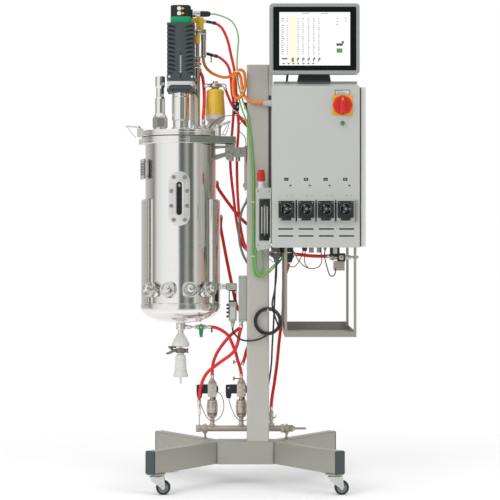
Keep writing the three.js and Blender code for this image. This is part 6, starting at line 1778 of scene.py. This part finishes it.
# Finish and edge, in millimetres, of each solid that shows as it is.
KEPT = {
    "base_frame": ("steel_along_x", 0.8), "column": ("steel_along_z", 0.6), "vessel_arm": ("steel_along_x", 0.6),
    "stirrer_shaft": ("polished_steel", 0), "flow_meter_float": ("turned_steel", 0),
    # The side cover takes the lighter copy of the cabinet's sheet: painted light against the door's shadow on it.
    "cabinet": ("cabinet_sheet", 0.7), "cabinet_side_cover": ("cover_sheet_painted_light", 0.7), "monitor": ("grey_plastic", 1.0),
    "shelf": ("shelf_steel", 0.4),
}
KEPT.update({"caster_fork_" + corner: ("zinc_plate", 0.4) for corner in CORNERS})


class BIOREACTOR_OT_kept_solids(bpy.types.Operator):
    """Gives the solids that show as they are their finish and eased edges"""
    bl_idname = "bioreactor.kept_solids"
    bl_label = "Plain solids"

    def execute(self, context):
        for name, (finish, edge) in KEPT.items():
            solid = NODES[name]
            for slot in solid.material_slots:
                slot.material = FINISHES[finish]
            if not solid.material_slots:
                solid.data.materials.append(FINISHES[finish])
            if edge:
                ease(solid, edge)
        return {"FINISHED"}


# ------------------------------------------------------------------ studio


def stage_mesh(name, corners, faces):
    mesh = bpy.data.meshes.new(name)
    mesh.from_pydata(corners, [], faces)
    mesh.materials.append(FINISHES[name])
    obj = bpy.data.objects.new(name, mesh)
    bpy.context.scene.collection.objects.link(obj)
    return obj


def soft_light(name, place, target, size, power):
    light = bpy.data.lights.new(name, "AREA")
    light.shape, light.size, light.size_y, light.energy = "RECTANGLE", size[0], size[1], power
    obj = bpy.data.objects.new(name, light)
    obj.location = place
    obj.rotation_euler = (Vector(target) - Vector(place)).to_track_quat("-Z", "Y").to_euler()
    obj.visible_glossy = False
    bpy.context.scene.collection.objects.link(obj)


# What polished steel mirrors of the surround: degrees from the front, to the right, and its colour.
SURROUND = [(-177, "eae9e9"), (-137, "c8c6c4"), (-122, "c0bfbb"), (-99, "9c9a97"), (-94, "8c8a88"),
            (-90, "aeadac"), (-79, "e4e7e6"), (-55, "f9fdff"), (-32, "ffffff"), (-10, "ffffff"),
            (-7.5, "ffffff"), (-2.5, "828a89"), (2, "676f6d"), (7, "616763"), (11.7, "7b7f7a"), (16, "9ba099"),
            (19.8, "aeb0ab"), (24, "9fa19c"), (28, "727973"), (36, "5f645e"), (40, "70746b"), (44, "b7bab5"),
            (48.4, "e5e6e4"), (56, "c1c2bc"), (69, "cbbab2"), (85, "a1938a"), (94, "8a8071"), (135, "96897f"),
            (160, "dbc9c3"), (176, "eae5e1")]


FLOOR_NEAR, FLOOR_FAR = 0.7, 1.9  # metres from the machine between which the floor goes to plain white


class BIOREACTOR_OT_studio(bpy.types.Operator):
    """Sets the pale floor, the soft lights, the surround and the camera"""
    bl_idname = "bioreactor.studio"
    bl_label = "Studio"

    def execute(self, context):
        studio = context.scene.bioreactor_studio
        # The floor as the lens, mirrors and glass see it goes to plain white away from the machine.
        r = recipe_for("studio_floor")
        away = r.add("ShaderNodeVectorMath", {"operation": "LENGTH"}, {0: r.place()}, output=1)
        far = r.add("ShaderNodeMapRange", {"interpolation_type": "SMOOTHSTEP"}, {0: away, 1: FLOOR_NEAR, 2: FLOOR_FAR})
        near = r.add("ShaderNodeBsdfDiffuse", {}, {"Color": (0.94, 0.94, 0.95, 1)})
        white = r.add("ShaderNodeEmission", {}, {"Color": (1, 1, 1, 1), "Strength": 1.0})
        shown = r.add("ShaderNodeMixShader", {}, {0: far, 1: near, 2: white})
        bounced = r.add("ShaderNodeBsdfDiffuse", {}, {"Color": (0.59, 0.59, 0.59, 1)})
        both = r.add("ShaderNodeMixShader", {}, {0: r.seen(), 1: bounced, 2: shown})
        r.add("ShaderNodeOutputMaterial", {}, {"Surface": both})
        floor = stage_mesh("studio_floor", [(-40, -40, 0), (40, -40, 0), (40, 40, 0), (-40, 40, 0)], [(0, 1, 2, 3)])

        # The surround: a tall ring seen only in mirror finishes.
        r = recipe_for("studio_surround")
        x, y = (r.add("ShaderNodeSeparateXYZ", {}, {0: r.place()}, output=axis) for axis in (0, 1))
        turn = r.add("ShaderNodeMath", {"operation": "ARCTAN2"}, {0: x, 1: y * -1.0})
        share_round = turn / (2 * math.pi) + 0.5
        stops = [((angle + 180) / 360, rgba(srgb(tint))) for angle, tint in SURROUND]
        shade = r.add("ShaderNodeValToRGB", {"stops": stops}, {0: share_round})
        glow = r.add("ShaderNodeEmission", {}, {"Color": shade, "Strength": 1.0})
        r.add("ShaderNodeOutputMaterial", {}, {"Surface": glow})
        sides, radius = 96, 7.0
        corners = [(x, y, z) for z in (-2.0, 6.0) for x, y in circle(radius, sides)]
        faces = [(i, (i + 1) % sides, sides + (i + 1) % sides, sides + i) for i in range(sides)]
        ring = stage_mesh("studio_surround", corners, faces)
        ring.visible_camera = ring.visible_diffuse = ring.visible_shadow = ring.visible_transmission = False

        world = context.scene.world or bpy.data.worlds.new("studio")
        context.scene.world = world
        world.use_nodes = True
        r = Recipe(world.node_tree)
        level = r.between(r.seen(), (studio.ambient,) * 3 + (1,), (1, 1, 1, 1))
        r.add("ShaderNodeOutputWorld", {}, {"Surface": r.add("ShaderNodeBackground", {}, {"Color": level})})

        # An even light from overhead that falls on the floor alone and gives the machine its soft shadow there.
        overhead = bpy.data.lights.new("floor_light", "SUN")
        overhead.energy, overhead.angle = studio.overhead, math.radians(75)
        holder = bpy.data.objects.new("floor_light", overhead)
        holder.location, holder.visible_glossy = (0, 0, 4), False
        context.scene.collection.objects.link(holder)
        lit = bpy.data.collections.new("floor_only")
        lit.objects.link(floor)
        holder.light_linking.receiver_collection = lit
        soft_light("key_light", (-2.6, -3.2, 3.4), (0, 0, 0.9), (2.4, 2.4), studio.key)
        soft_light("fill_light", (3.2, -2.6, 2.2), (0, 0, 0.9), (2.0, 2.4), studio.fill)

        camera = bpy.data.cameras.new("camera")
        camera.lens, camera.sensor_width, camera.shift_y = studio.lens, 36.0, -studio.drop
        camera.clip_end = 100
        holder = bpy.data.objects.new("camera", camera)
        holder.location = (studio.camera_x, -studio.distance, studio.camera_z)
        holder.rotation_euler = (math.pi / 2, 0, 0)
        context.scene.collection.objects.link(holder)
        context.scene.camera = holder
        context.scene.view_settings.view_transform = "Standard"
        return {"FINISHED"}


# ------------------------------------------------------------------ panel and main

SETTINGS = {"bioreactor_finishes": FinishSettings, "bioreactor_lines": LineSettings,
            "bioreactor_studio": StudioSettings}
PIECES = (BIOREACTOR_OT_hoses, BIOREACTOR_OT_sensor_cable, BIOREACTOR_OT_earth_lead,
          BIOREACTOR_OT_probe_cable, BIOREACTOR_OT_vessel, BIOREACTOR_OT_jacket, BIOREACTOR_OT_sight_glass,
          BIOREACTOR_OT_lid, BIOREACTOR_OT_latches, BIOREACTOR_OT_motor, BIOREACTOR_OT_lid_fittings,
          BIOREACTOR_OT_outlet, BIOREACTOR_OT_transmitter, BIOREACTOR_OT_door_details, BIOREACTOR_OT_pumps,
          BIOREACTOR_OT_flow_meter, BIOREACTOR_OT_monitor, BIOREACTOR_OT_stand_fittings,
          BIOREACTOR_OT_manifold, BIOREACTOR_OT_small_lines, BIOREACTOR_OT_kept_solids, BIOREACTOR_OT_studio)


class BIOREACTOR_PT_pieces(bpy.types.Panel):
    """Sizes, colours and pieces of the bioreactor"""
    bl_label = "Bioreactor"
    bl_space_type = "VIEW_3D"
    bl_region_type = "UI"
    bl_category = "Bioreactor"

    def draw(self, context):
        for name, settings in SETTINGS.items():
            box = self.layout.box()
            box.label(text=settings.__doc__)
            for prop in settings.__annotations__:
                box.prop(getattr(context.scene, name), prop)
        for piece in PIECES:
            self.layout.operator(piece.bl_idname)


CLASSES = tuple(SETTINGS.values()) + PIECES + (BIOREACTOR_PT_pieces,)


def register():
    for cls in CLASSES:
        bpy.utils.register_class(cls)
    for name, settings in SETTINGS.items():
        setattr(bpy.types.Scene, name, PointerProperty(type=settings))


def unregister():
    for name in SETTINGS:
        delattr(bpy.types.Scene, name)
    for cls in reversed(CLASSES):
        bpy.utils.unregister_class(cls)


def main():
    register()
    mix_finishes()
    for piece in PIECES:
        group, name = piece.bl_idname.split(".")
        getattr(getattr(bpy.ops, group), name)()
    bpy.context.view_layer.update()


if __name__ == "__main__":
    main()
